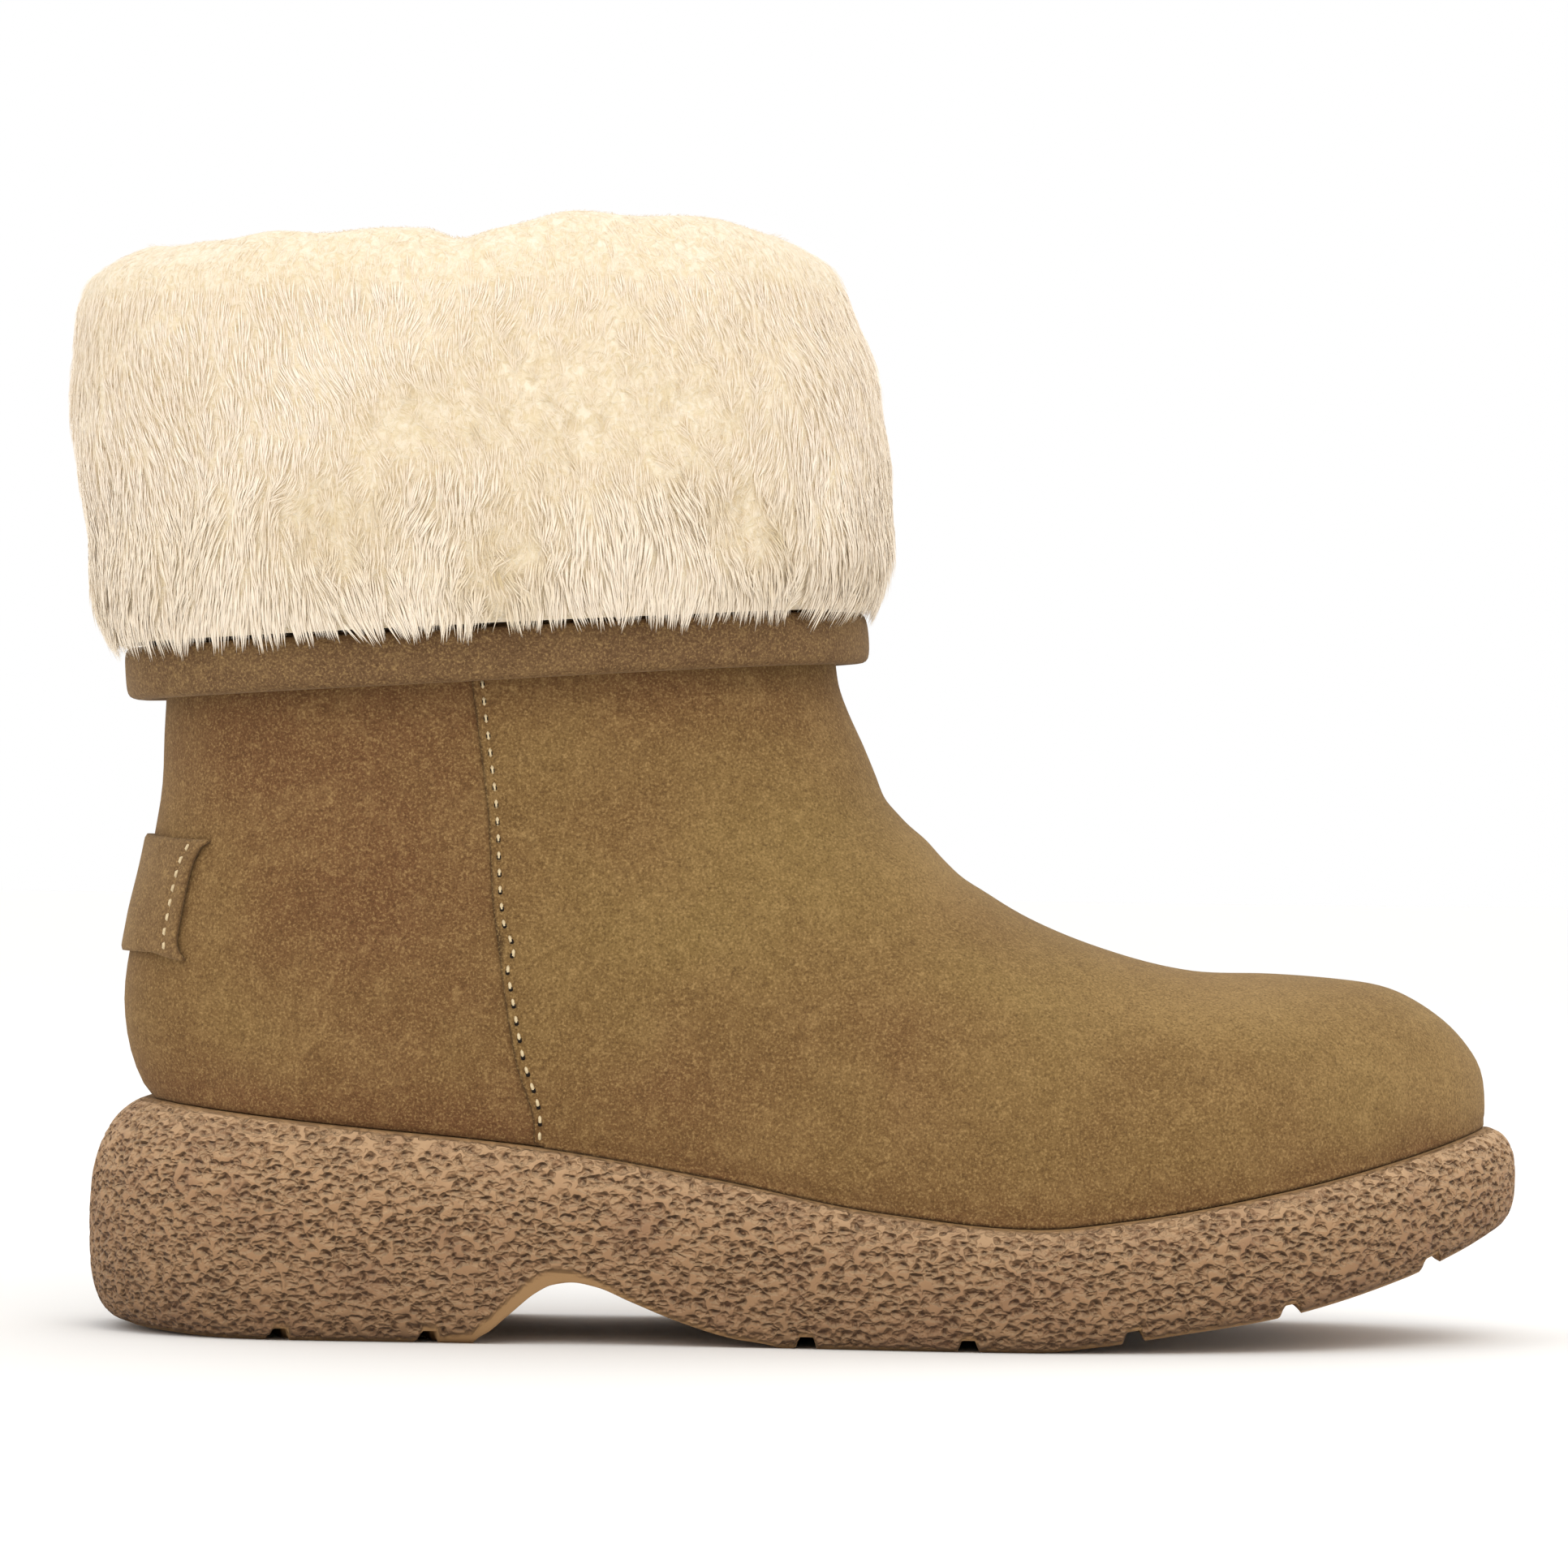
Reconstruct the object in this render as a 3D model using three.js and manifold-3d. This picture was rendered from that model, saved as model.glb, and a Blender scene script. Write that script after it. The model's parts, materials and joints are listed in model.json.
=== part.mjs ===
// A sheepskin ankle boot for the right foot, in millimetres: a moulded sole, a hollow suede upper,
// a turned-down fleece cuff with a suede binding, a heel tab and an insole.
// X runs from heel to toe, -Y is the outer side of the foot and Z is up from the floor.
import * as THREE from "three";
import { mergeVertices } from "three/addons/utils/BufferGeometryUtils.js";
import Module from "manifold-3d";

// Upper
const upperLength = 269; // back of the heel to the tip of the toe, over the suede
const ballWidth = 99;
const heelWidth = 83; // over the ankle, above the heel seat
const shaftWidth = 93; // at the fold of the collar
const instepHeight = 110; // lowest point of the bed to the bend above the instep
const shaftRise = 73.5; // bend above the instep to the fold of the collar
const backRise = 157.5; // heel seat to the fold of the collar, at the back
const wall = 2.2; // thickness of the suede
const seamStep = 0.9; // front panel over back panel

// Sole
const heelBed = 45.5; // height of the upper's seat at the heel
const ballBed = 23.5;
const toeBed = 41.8;
const toeSpring = 22; // height of the tread under the tip of the toe
const heelBevel = 1.6;
const archHeight = 12.2;
const heelBulge = 11.2; // how far the side wall swells past the upper
const toeBulge = 6.6;
const sideBulge = 6.2;
const lip = 0.6; // flat edge of the sole outside the upper
const grooveWidth = 3.4;
const grooveDepth = 2.4;
const heelGrooveTurn = 14; // degrees

// Cuff, tab and insole
const cuffHeight = 80; // lower edge of the binding to the fold, along the back
const cuffTilt = 3.8; // degrees that the lower edge climbs from back to front
const fleeceThick = 16.4;
const rimHeight = 13.5; // fleece above the fold
const mouthThick = 8; // fleece inside the mouth
const mouthDepth = 34;
const bindingHeight = 10.4;
const bindingThick = 8.4;
const lockLength = 17;
const lockWidth = 13;
const lockThick = 2.6; // how far a lock stands out of the fleece
const edgeLocks = 28;
const faceLocks = 10; // in each row on the face of the cuff
const tabThick = 1.5;
const tabHeight = 22.5;
const tabBase = 28.6; // height of the tab's lower edge above the heel seat
const tabReach = 15.2; // how far the tab comes round from the back
const insoleThick = 6;

const gap = 0.3; // clearance between pieces that touch
const sink = 12; // how far the lofted form goes on below the bed, before it is trimmed
const ringPoints = 32; // round the upper
const soleStations = 32; // along each side of the sole
const cuffTurns = 32; // round the cuff

const wasm = await Module();
wasm.setup();

const mix = (a, b, t) => a + (b - a) * t;
const radians = THREE.MathUtils.degToRad;
const nudge = 0.02; // small step in angle or row, from which a slope is worked out

// Halves a range until it closes on the place where the test turns false.
function halve(low, high, test) {
  const halvings = 30;
  for (let k = 0; k < halvings; k++) {
    const middle = (low + high) / 2;
    if (test(middle)) low = middle;
    else high = middle;
  }
  return low;
}

// A smooth curve through rows of a table, by their "at" column, that never overshoots a row.
function curveThrough(rows, key) {
  const x = rows.map((row) => row.at);
  const y = rows.map((row) => row[key]);
  const rise = x.slice(1).map((v, i) => (y[i + 1] - y[i]) / (v - x[i]));
  const slope = x.map((_, i) => {
    if (i === 0) return rise[0];
    if (i === x.length - 1) return rise[i - 1];
    const [before, after] = [rise[i - 1], rise[i]];
    return before * after <= 0 ? 0 : (2 * before * after) / (before + after);
  });
  return (at) => {
    if (at <= x[0]) return y[0] + slope[0] * (at - x[0]);
    const last = x.length - 1;
    if (at >= x[last]) return y[last] + slope[last] * (at - x[last]);
    const i = x.findIndex((v, k) => at < x[k + 1]);
    const span = x[i + 1] - x[i];
    const t = (at - x[i]) / span;
    const [t2, t3] = [t * t, t * t * t];
    return (
      y[i] * (2 * t3 - 3 * t2 + 1) +
      y[i + 1] * (3 * t2 - 2 * t3) +
      span * (slope[i] * (t3 - 2 * t2 + t) + slope[i + 1] * (t3 - t2))
    );
  };
}

// Bed of the sole, seen from the side. "heel" and "toe" are shares of the climb from the ball.
const bedRows = [
  { at: 0.0, heel: 1.02, toe: 0 },
  { at: 0.157, heel: 0.823, toe: 0 },
  { at: 0.306, heel: 0.655, toe: 0 },
  { at: 0.436, heel: 0.395, toe: 0 },
  { at: 0.555, heel: 0.123, toe: 0 },
  { at: 0.666, heel: 0, toe: 0 },
  { at: 0.733, heel: 0, toe: 0.098 },
  { at: 0.845, heel: 0, toe: 0.4 },
  { at: 0.938, heel: 0, toe: 0.73 },
  { at: 1.0, heel: 0, toe: 1 },
];
const heelShare = curveThrough(bedRows, "heel");
const toeShare = curveThrough(bedRows, "toe");
const bedAt = (x) =>
  ballBed +
  heelShare(x / upperLength) * (heelBed - ballBed) +
  toeShare(x / upperLength) * (toeBed - ballBed);

// Tread, seen from the side, without its arch. "toe" is a share of the toe spring.
const treadRows = [
  { at: -0.03, heel: 1, toe: 0 },
  { at: 0.03, heel: 0.45, toe: 0 },
  { at: 0.09, heel: 0, toe: 0 },
  { at: 0.665, heel: 0, toe: 0 },
  { at: 0.705, heel: 0, toe: 0.045 },
  { at: 0.76, heel: 0, toe: 0.145 },
  { at: 0.84, heel: 0, toe: 0.3 },
  { at: 0.936, heel: 0, toe: 0.62 },
  { at: 0.977, heel: 0, toe: 0.82 },
  { at: 1.012, heel: 0, toe: 1 },
];
const bevelShare = curveThrough(treadRows, "heel");
const springShare = curveThrough(treadRows, "toe");
const treadAt = (x) =>
  bevelShare(x / upperLength) * heelBevel +
  springShare(x / upperLength) * toeSpring;

// Sections of the foot, from the toe back to the heel. "at" and "under" place the top and the bottom
// of a section along the upper. "up" and "down" are shares of the instep's height above the ball's bed,
// and a section with no "down" ends just below the bed. "lat" and "med" are the outer and inner half widths,
// as shares of "of". "wide" is how far down the widest place lies, and "crown" and "base" are roundnesses.
// "swing" moves a section towards the inner side of the foot, as a share of the ball's width.
const footRows = [
  { at: 1.0, up: 0.208, under: 1.0, down: 0.201,
    lat: 0.004, med: 0.004, of: ballWidth, wide: 0.5, crown: 2.0, base: 2.0, swing: 0.07 },
  { at: 0.997, up: 0.263, under: 0.997, down: 0.135,
    lat: 0.071, med: 0.075, of: ballWidth, wide: 0.5, crown: 2.1, base: 2.3, swing: 0.069 },
  { at: 0.988, up: 0.306, under: 0.988, down: 0.085,
    lat: 0.137, med: 0.144, of: ballWidth, wide: 0.52, crown: 2.2, base: 2.6, swing: 0.067 },
  { at: 0.972, up: 0.351, under: 0.972, down: 0.045,
    lat: 0.21, med: 0.222, of: ballWidth, wide: 0.55, crown: 2.3, base: 3.0, swing: 0.063 },
  { at: 0.949, up: 0.389, under: 0.949,
    lat: 0.275, med: 0.288, of: ballWidth, wide: 0.58, crown: 2.35, base: 3.3, swing: 0.056 },
  { at: 0.924, up: 0.413, under: 0.924,
    lat: 0.335, med: 0.345, of: ballWidth, wide: 0.6, crown: 2.4, base: 3.6, swing: 0.047 },
  { at: 0.889, up: 0.426, under: 0.889,
    lat: 0.4, med: 0.4, of: ballWidth, wide: 0.62, crown: 2.4, base: 3.8, swing: 0.034 },
  { at: 0.841, up: 0.435, under: 0.841,
    lat: 0.457, med: 0.45, of: ballWidth, wide: 0.64, crown: 2.35, base: 3.9, swing: 0.018 },
  { at: 0.781, up: 0.442, under: 0.781,
    lat: 0.498, med: 0.483, of: ballWidth, wide: 0.65, crown: 2.3, base: 3.9, swing: 0.007 },
  { at: 0.722, up: 0.473, under: 0.722,
    lat: 0.52, med: 0.492, of: ballWidth, wide: 0.66, crown: 2.25, base: 3.9, swing: 0 },
  { at: 0.659, up: 0.53, under: 0.651,
    lat: 0.528, med: 0.476, of: ballWidth, wide: 0.66, crown: 2.2, base: 3.9, swing: -0.003 },
  { at: 0.607, up: 0.615, under: 0.577,
    lat: 0.515, med: 0.448, of: ballWidth, wide: 0.65, crown: 2.15, base: 3.9, swing: -0.004 },
  { at: 0.571, up: 0.696, under: 0.491,
    lat: 0.492, med: 0.425, of: ballWidth, wide: 0.63, crown: 2.15, base: 4.0, swing: -0.003 },
  { at: 0.549, up: 0.774, under: 0.395,
    lat: 0.472, med: 0.415, of: ballWidth, wide: 0.6, crown: 2.15, base: 4.0, swing: 0 },
  { at: 0.535, up: 0.845, under: 0.283,
    lat: 0.552, med: 0.505, of: heelWidth, wide: 0.57, crown: 2.15, base: 4.0, swing: 0 },
  { at: 0.525, up: 0.899, under: 0.164,
    lat: 0.536, med: 0.505, of: heelWidth, wide: 0.54, crown: 2.15, base: 3.8, swing: 0 },
  { at: 0.518, up: 0.946, under: 0.066,
    lat: 0.527, med: 0.505, of: heelWidth, wide: 0.52, crown: 2.15, base: 3.4, swing: 0 },
];

// Sections of the shaft, from the ankle to the fold. "at" and "up" place the front, "rear" and "back"
// the rear: "up" is a share of the shaft's rise above the bend, and "back" a share of the rise above
// the heel seat.
const shaftRows = [
  { at: 0.5145, up: -0.014, rear: 0.017, back: 0.006,
    lat: 0.505, med: 0.483, of: heelWidth, crown: 2.15, base: 2.75 },
  { at: 0.511, up: 0.068, rear: 0.0, back: 0.105,
    lat: 0.504, med: 0.488, of: heelWidth, crown: 2.15, base: 2.6 },
  { at: 0.508, up: 0.163, rear: 0.0065, back: 0.219,
    lat: 0.505, med: 0.495, of: heelWidth, crown: 2.15, base: 2.5 },
  { at: 0.507, up: 0.272, rear: 0.0205, back: 0.333,
    lat: 0.508, med: 0.503, of: heelWidth, crown: 2.15, base: 2.4 },
  { at: 0.506, up: 0.395, rear: 0.027, back: 0.46,
    lat: 0.466, med: 0.464, of: shaftWidth, crown: 2.15, base: 2.35 },
  { at: 0.505, up: 0.54, rear: 0.0245, back: 0.6,
    lat: 0.472, med: 0.47, of: shaftWidth, crown: 2.15, base: 2.3 },
  { at: 0.502, up: 0.7, rear: 0.0125, back: 0.765,
    lat: 0.482, med: 0.482, of: shaftWidth, crown: 2.15, base: 2.25 },
  { at: 0.4965, up: 0.87, rear: -0.0005, back: 0.917,
    lat: 0.493, med: 0.493, of: shaftWidth, crown: 2.15, base: 2.2 },
  { at: 0.492, up: 1.0, rear: -0.0065, back: 1.0,
    lat: 0.5, med: 0.5, of: shaftWidth, crown: 2.15, base: 2.2 },
];
const sectionKeys = ["topX", "topZ", "lowX", "lowZ", "lat", "med", "wide", "crown", "base", "swing"];
const sections = [
  ...footRows.map((row) => ({
    topX: row.at * upperLength,
    topZ: ballBed + row.up * instepHeight,
    lowX: row.under * upperLength,
    lowZ:
      row.down === undefined
        ? bedAt(row.under * upperLength) - sink
        : ballBed + row.down * instepHeight,
    lat: row.lat * row.of,
    med: row.med * row.of,
    wide: row.wide,
    crown: row.crown,
    base: row.base,
    swing: row.swing * ballWidth,
  })),
  ...shaftRows.map((row) => ({
    topX: row.at * upperLength,
    topZ: ballBed + instepHeight + row.up * shaftRise,
    lowX: row.rear * upperLength,
    lowZ: heelBed + row.back * backRise,
    lat: row.lat * row.of,
    med: row.med * row.of,
    wide: 0.5,
    crown: row.crown,
    base: row.base,
    swing: 0,
  })),
];
const lastSection = sections.length - 1;
const ankleSection = footRows.length - 3; // first section that can reach the cuff

// The section at s, which counts the rows from the toe and may fall between two of them.
function sectionAt(s) {
  const i = Math.min(Math.max(Math.floor(s), 0), lastSection - 1);
  const t = s - i;
  const row = (k) => sections[Math.min(Math.max(k, 0), lastSection)];
  const section = {};
  for (const key of sectionKeys) {
    const [a, b, c, d] = [row(i - 1), row(i), row(i + 1), row(i + 2)].map((r) => r[key]);
    section[key] =
      b +
      0.5 * t * (c - a + t * (2 * a - 5 * b + 4 * c - d + t * (3 * (b - c) + d - a)));
  }
  return section;
}

// A point on the boot's own form: angle 0 is the top or front of a section, and a quarter turn is its
// inner side.
function formPoint(s, angle) {
  const q = sectionAt(s);
  const [c, d] = [Math.cos(angle), Math.sin(angle)];
  const power = 2 / (c > 0 ? q.crown : q.base);
  const reach = Math.abs(c) ** power * (c > 0 ? q.wide : q.wide - 1);
  const share = q.wide - reach;
  return new THREE.Vector3(
    mix(q.topX, q.lowX, share),
    q.swing + Math.abs(d) ** power * (d > 0 ? q.med : -q.lat),
    mix(q.topZ, q.lowZ, share),
  );
}

// The same point, moved out along the surface's normal.
function skinPoint(s, angle, out) {
  const point = formPoint(s, angle);
  if (s < nudge) return point.add(new THREE.Vector3(out, 0, 0));
  const next = Math.min(s + nudge, lastSection);
  const alongForm = formPoint(next, angle).sub(formPoint(s - nudge, angle));
  const roundForm = formPoint(s, angle + nudge).sub(formPoint(s, angle - nudge));
  return point.addScaledVector(roundForm.cross(alongForm).normalize(), out);
}

// Closed meshes from rings of points
function solidFrom(points, faces) {
  const flat = new Float32Array(points.flatMap((p) => [p.x, p.y, p.z]));
  const geometry = new THREE.BufferGeometry()
    .setAttribute("position", new THREE.BufferAttribute(flat, 3))
    .setIndex(faces);
  return solidOf(geometry);
}

function solidOf(geometry) {
  geometry.deleteAttribute("normal");
  geometry.deleteAttribute("uv");
  const merged = mergeVertices(geometry, 1e-4);
  return new wasm.Manifold(
    new wasm.Mesh({
      numProp: 3,
      vertProperties: new Float32Array(merged.attributes.position.array),
      triVerts: new Uint32Array(merged.index.array),
    }),
  );
}

function loft(rings) {
  const size = rings[0].length;
  const points = rings.flat();
  const faces = [];
  rings.slice(1).forEach((_, i) => {
    for (let j = 0; j < size; j++) {
      const [a, b] = [i * size + j, i * size + ((j + 1) % size)];
      faces.push(a, b, b + size, a, b + size, a + size);
    }
  });
  const close = (ring, offset, turn) => {
    const centre = points.length;
    points.push(ring.reduce((sum, p) => sum.add(p), new THREE.Vector3()).divideScalar(size));
    for (let j = 0; j < size; j++) {
      const [a, b] = [offset + j, offset + ((j + 1) % size)];
      faces.push(centre, turn ? b : a, turn ? a : b);
    }
  };
  close(rings[0], 0, true);
  close(rings.at(-1), (rings.length - 1) * size, false);
  return solidFrom(points, faces);
}

function hoop(rings) {
  const size = rings[0].length;
  const faces = [];
  rings.forEach((_, i) => {
    const next = ((i + 1) % rings.length) * size;
    for (let j = 0; j < size; j++) {
      const k = (j + 1) % size;
      const [a, b, c, d] = [i * size + j, i * size + k, next + k, next + j];
      faces.push(a, b, c, a, c, d);
    }
  });
  return solidFrom(rings.flat(), faces);
}

// A prism across the boot from an outline seen from the side.
function acrossBoot(outline) {
  const width = 2 * Math.max(ballWidth, shaftWidth, heelWidth);
  const shape = new THREE.Shape(outline.map(([x, z]) => new THREE.Vector2(x, z)));
  const geometry = new THREE.ExtrudeGeometry(shape, { depth: 2 * width, bevelEnabled: false });
  geometry.translate(0, 0, -width);
  geometry.rotateX(Math.PI / 2);
  return solidOf(geometry);
}

const beyondFold = 20; // how far a cutter goes on past the collar

// The whole form, swollen by "out" and closed above the fold when it is a cutter.
function bootForm(out, above = 0) {
  const rings = [];
  for (let k = 0; k <= lastSection; k++) {
    const turn = (2 * Math.PI) / ringPoints;
    rings.push(Array.from({ length: ringPoints }, (_, j) => skinPoint(k, j * turn, out)));
  }
  if (above > 0) {
    rings.push(rings.at(-1).map((p) => p.clone().add(new THREE.Vector3(0, 0, above))));
  }
  return loft(rings);
}

// The space under a line that follows the bed.
const bedSteps = 36;

function underBed(lift) {
  const reach = heelBed;
  const outline = [
    [upperLength + reach, -reach],
    [-reach, -reach],
  ];
  for (let k = 0; k <= bedSteps; k++) {
    const x = mix(-reach, upperLength + reach, k / bedSteps);
    outline.push([x, bedAt(x) + lift]);
  }
  return acrossBoot(outline.reverse());
}

// Side seam, seen from the side: the front panel lies over the back panel ahead of this line.
const boreHeight = heelBed + backRise;
const seamRows = [
  { at: 0.3, up: -0.2 },
  { at: 0.306, up: 0.205 },
  { at: 0.293, up: 0.265 },
  { at: 0.285, up: 0.319 },
  { at: 0.279, up: 0.376 },
  { at: 0.274, up: 0.423 },
  { at: 0.27, up: 0.502 },
  { at: 0.264, up: 0.565 },
  { at: 0.257, up: 0.64 },
  { at: 0.25, up: 1.2 },
];

// The upper's wall with its clearance, which is cut away from what sits round the collar.
function collarWall() {
  return bootForm(seamStep + gap, gap).subtract(bootForm(-wall - gap, beyondFold));
}

function makeUpper() {
  const seam = seamRows.map((row) => [row.at * upperLength, row.up * boreHeight]);
  const beyond = 2 * upperLength;
  const ahead = [...seam, [beyond, seam.at(-1)[1]], [beyond, seam[0][1]]];
  const frontPanel = bootForm(seamStep).intersect(acrossBoot(ahead.reverse()));
  return bootForm(0)
    .add(frontPanel)
    .subtract(bootForm(-wall, beyondFold))
    .subtract(underBed(gap));
}

function makeInsole() {
  return bootForm(-wall - gap).intersect(underBed(gap + insoleThick).subtract(underBed(gap)));
}

// The line where the upper meets the bed, as points spaced evenly round the sole.
function featherLine() {
  const above = (p) => p.z - bedAt(p.x);
  const toeRows = footRows.filter((row) => row.down !== undefined).length;
  const toeEnd = halve(0, toeRows, (s) => above(formPoint(s, Math.PI)) > 0);
  const heelStart = footRows.length - 1;
  const heelEnd = halve(heelStart, heelStart + 2, (s) => above(formPoint(s, Math.PI)) < 0);
  const steps = 3 * soleStations;
  const side = (turn) =>
    Array.from({ length: steps - 1 }, (_, k) => {
      const s = mix(toeEnd, heelEnd, 0.5 - 0.5 * Math.cos((Math.PI * (k + 1)) / steps));
      const angle = halve(Math.PI / 2, Math.PI, (a) => above(formPoint(s, turn * a)) > 0);
      return formPoint(s, turn * angle);
    });
  const points = [
    formPoint(toeEnd, Math.PI),
    ...side(1),
    formPoint(heelEnd, Math.PI),
    ...side(-1).reverse(),
  ];
  const line = new THREE.CatmullRomCurve3(points.map((p) => p.setZ(0)), true, "centripetal");
  line.arcLengthDivisions = 16 * steps;
  return line.getSpacedPoints(2 * soleStations).slice(0, 2 * soleStations);
}

// Side wall of the sole: "up" is a share of its height and "out" a share of its swelling. The wall goes on
// past the bed, where it is trimmed off.
const wallRows = [
  { up: 0, out: 0.26 },
  { up: 0.035, out: 0.62 },
  { up: 0.12, out: 0.86 },
  { up: 0.27, out: 0.98 },
  { up: 0.45, out: 1 },
  { up: 0.62, out: 0.96 },
  { up: 0.78, out: 0.8 },
  { up: 0.9, out: 0.53 },
  { up: 0.97, out: 0.22 },
  { up: 1, out: 0 },
  { up: 1.05, out: -0.1 },
];
const swellRows = [
  { at: 0, share: 1.15 },
  { at: 0.22, share: 1.12 },
  { at: 0.42, share: 0.74 },
  { at: 0.66, share: 0.98 },
  { at: 1, share: 1 },
];
const swell = curveThrough(swellRows, "share");

// Arch, seen from the side: "up" is a share of its height.
const archRows = [
  { at: 0.2625, up: -0.3 },
  { at: 0.2645, up: 0.02 },
  { at: 0.276, up: 0.21 },
  { at: 0.291, up: 0.5 },
  { at: 0.309, up: 0.83 },
  { at: 0.321, up: 0.96 },
  { at: 0.3345, up: 1 },
  { at: 0.352, up: 0.93 },
  { at: 0.377, up: 0.7 },
  { at: 0.411, up: 0.4 },
  { at: 0.449, up: 0.15 },
  { at: 0.478, up: 0.04 },
  { at: 0.502, up: -0.3 },
];
const heelGrooves = [0.085, 0.19];
const foreGrooves = [0.5025, 0.618, 0.7355, 0.849, 0.955];

function makeSole() {
  const line = featherLine();
  const rings = wallRows.map((row) =>
    line.map((p, i) => {
      const before = line.at(i - 1);
      const after = line[(i + 1) % line.length];
      const normal = new THREE.Vector3(after.y - before.y, before.x - after.x, 0).normalize();
      const end = normal.x ** 2;
      const side = sideBulge * swell(p.x / upperLength);
      const bulge = mix(side, normal.x < 0 ? heelBulge : toeBulge, end);
      const q = p.clone().addScaledVector(normal, lip + bulge * row.out);
      return q.setZ(mix(treadAt(q.x), bedAt(q.x), row.up));
    }),
  );
  const size = line.length;
  const points = rings.flat();
  const faces = [];
  rings.slice(1).forEach((_, i) => {
    for (let j = 0; j < size; j++) {
      const [a, b] = [i * size + j, i * size + ((j + 1) % size)];
      faces.push(a, b, b + size, a, b + size, a + size);
    }
  });
  // The tread and the bed are closed by rungs from one side to the other.
  const bed = (rings.length - 1) * size;
  const half = size / 2;
  for (let j = 0; j < half; j++) {
    const [a, b] = [j, j + 1];
    const [c, d] = [(size - j) % size, size - j - 1];
    faces.push(a, d, b, bed + a, bed + b, bed + d);
    if (j > 0) faces.push(a, c, d, bed + a, bed + d, bed + c);
  }
  let sole = solidFrom(points, faces).intersect(underBed(0));
  const arch = archRows.map((row) => [row.at * upperLength, row.up * archHeight]);
  sole = sole.subtract(acrossBoot(arch.reverse()));
  for (const at of foreGrooves) sole = sole.subtract(groove(at * upperLength, 0));
  for (const at of heelGrooves) sole = sole.subtract(groove(at * upperLength, heelGrooveTurn));
  return sole;
}

// Section of a groove, wider at its mouth: "half" is a share of its width and "up" a share of its depth.
const grooveRows = [
  { half: 0.75, up: -1 },
  { half: 0.6, up: 0 },
  { half: 0.4, up: 1 },
];

function groove(x, turn) {
  const slope = Math.atan2(treadAt(x + 1) - treadAt(x - 1), 2);
  const side = (hand) =>
    grooveRows.map((row) => new THREE.Vector2(hand * row.half * grooveWidth, row.up * grooveDepth));
  const shape = new THREE.Shape([...side(1), ...side(-1).reverse()]);
  const geometry = new THREE.ExtrudeGeometry(shape, { depth: 4 * ballWidth, bevelEnabled: false });
  geometry.translate(0, 0, -2 * ballWidth);
  geometry.rotateX(Math.PI / 2);
  geometry.rotateY(-slope);
  geometry.rotateZ(radians(turn));
  geometry.translate(x, 0, treadAt(x));
  return solidOf(geometry);
}

// A point at height z on the outside of the shaft. Above the fold the shaft's outline goes straight up.
function shaftPoint(angle, z) {
  const s = halve(ankleSection, lastSection, (middle) => formPoint(middle, angle).z < z);
  return formPoint(s, angle).setZ(z);
}

// Points round the shaft, "out" from its surface.
function cuffPoint(angle, out, z) {
  const point = shaftPoint(angle, z);
  const run = shaftPoint(angle + nudge, z).sub(shaftPoint(angle - nudge, z));
  return point.addScaledVector(new THREE.Vector3(run.y, -run.x, 0).normalize(), out);
}

const foldAt = (angle) => formPoint(lastSection, angle);
const cuffEdge = (x) => boreHeight - cuffHeight + x * Math.tan(radians(cuffTilt));
const edgeAt = (angle) => cuffEdge(shaftPoint(angle, cuffEdge(upperLength / 4)).x);

// Height of the fleece above the fold, seen from the side: two lobes that meet at the side seam.
const rimRows = [
  { at: -0.02, share: 0.86 },
  { at: 0.06, share: 0.95 },
  { at: 0.16, share: 0.97 },
  { at: 0.222, share: 1.0 },
  { at: 0.245, share: 0.86 },
  { at: 0.27, share: 1.02 },
  { at: 0.325, share: 1.2 },
  { at: 0.42, share: 1.18 },
  { at: 0.47, share: 0.98 },
  { at: 0.51, share: 0.8 },
];
const rimShare = curveThrough(rimRows, "share");

// Section of the fleece: "out" is a share of its thickness, "up" a share of the way from the binding to
// the fold, and "rim" a share of its height above the fold. It runs down the face, in under the edge and
// up the shaft.
const fleeceRows = [
  { out: 0.3, up: 1, rim: 0.97 },
  { out: 0.62, up: 1, rim: 0.74 },
  { out: 0.84, up: 1, rim: 0.3 },
  { out: 0.95, up: 0.86, rim: 0 },
  { out: 1.0, up: 0.7, rim: 0 },
  { out: 0.99, up: 0.5, rim: 0 },
  { out: 0.98, up: 0.3, rim: 0 },
  { out: 1.0, up: 0.12, rim: 0 },
  { out: 0.93, up: 0.0, rim: 0 },
];

// Section of the fleece inside the mouth: "in" is a share of its thickness, "down" a share of its depth below
// the fold and "rim" a share of its height above the fold.
const mouthRows = [
  { in: 0.7, down: 0.97, rim: 0 },
  { in: 1.0, down: 0.7, rim: 0 },
  { in: 1.0, down: 0.2, rim: 0 },
  { in: 0.8, down: 0, rim: 0.55 },
  { in: 0.25, down: 0, rim: 0.9 },
];
const edgeDrop = 2.2; // how far the fleece hangs over the binding
const fleeceSwell = 0.045; // share by which the fleece's thickness comes and goes

function fleeceOuter(angle, row) {
  const fold = foldAt(angle);
  const low = edgeAt(angle) + bindingHeight;
  const z = mix(low, fold.z, row.up) + row.rim * rimHeight * rimShare(fold.x / upperLength);
  const wide = Math.sin(3 * angle + 9 * row.up);
  const narrow = Math.sin(7 * angle - 6 * row.up);
  const puff = 1 + fleeceSwell * (wide + narrow);
  return cuffPoint(angle, fleeceThick * row.out * puff, z);
}

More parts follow.
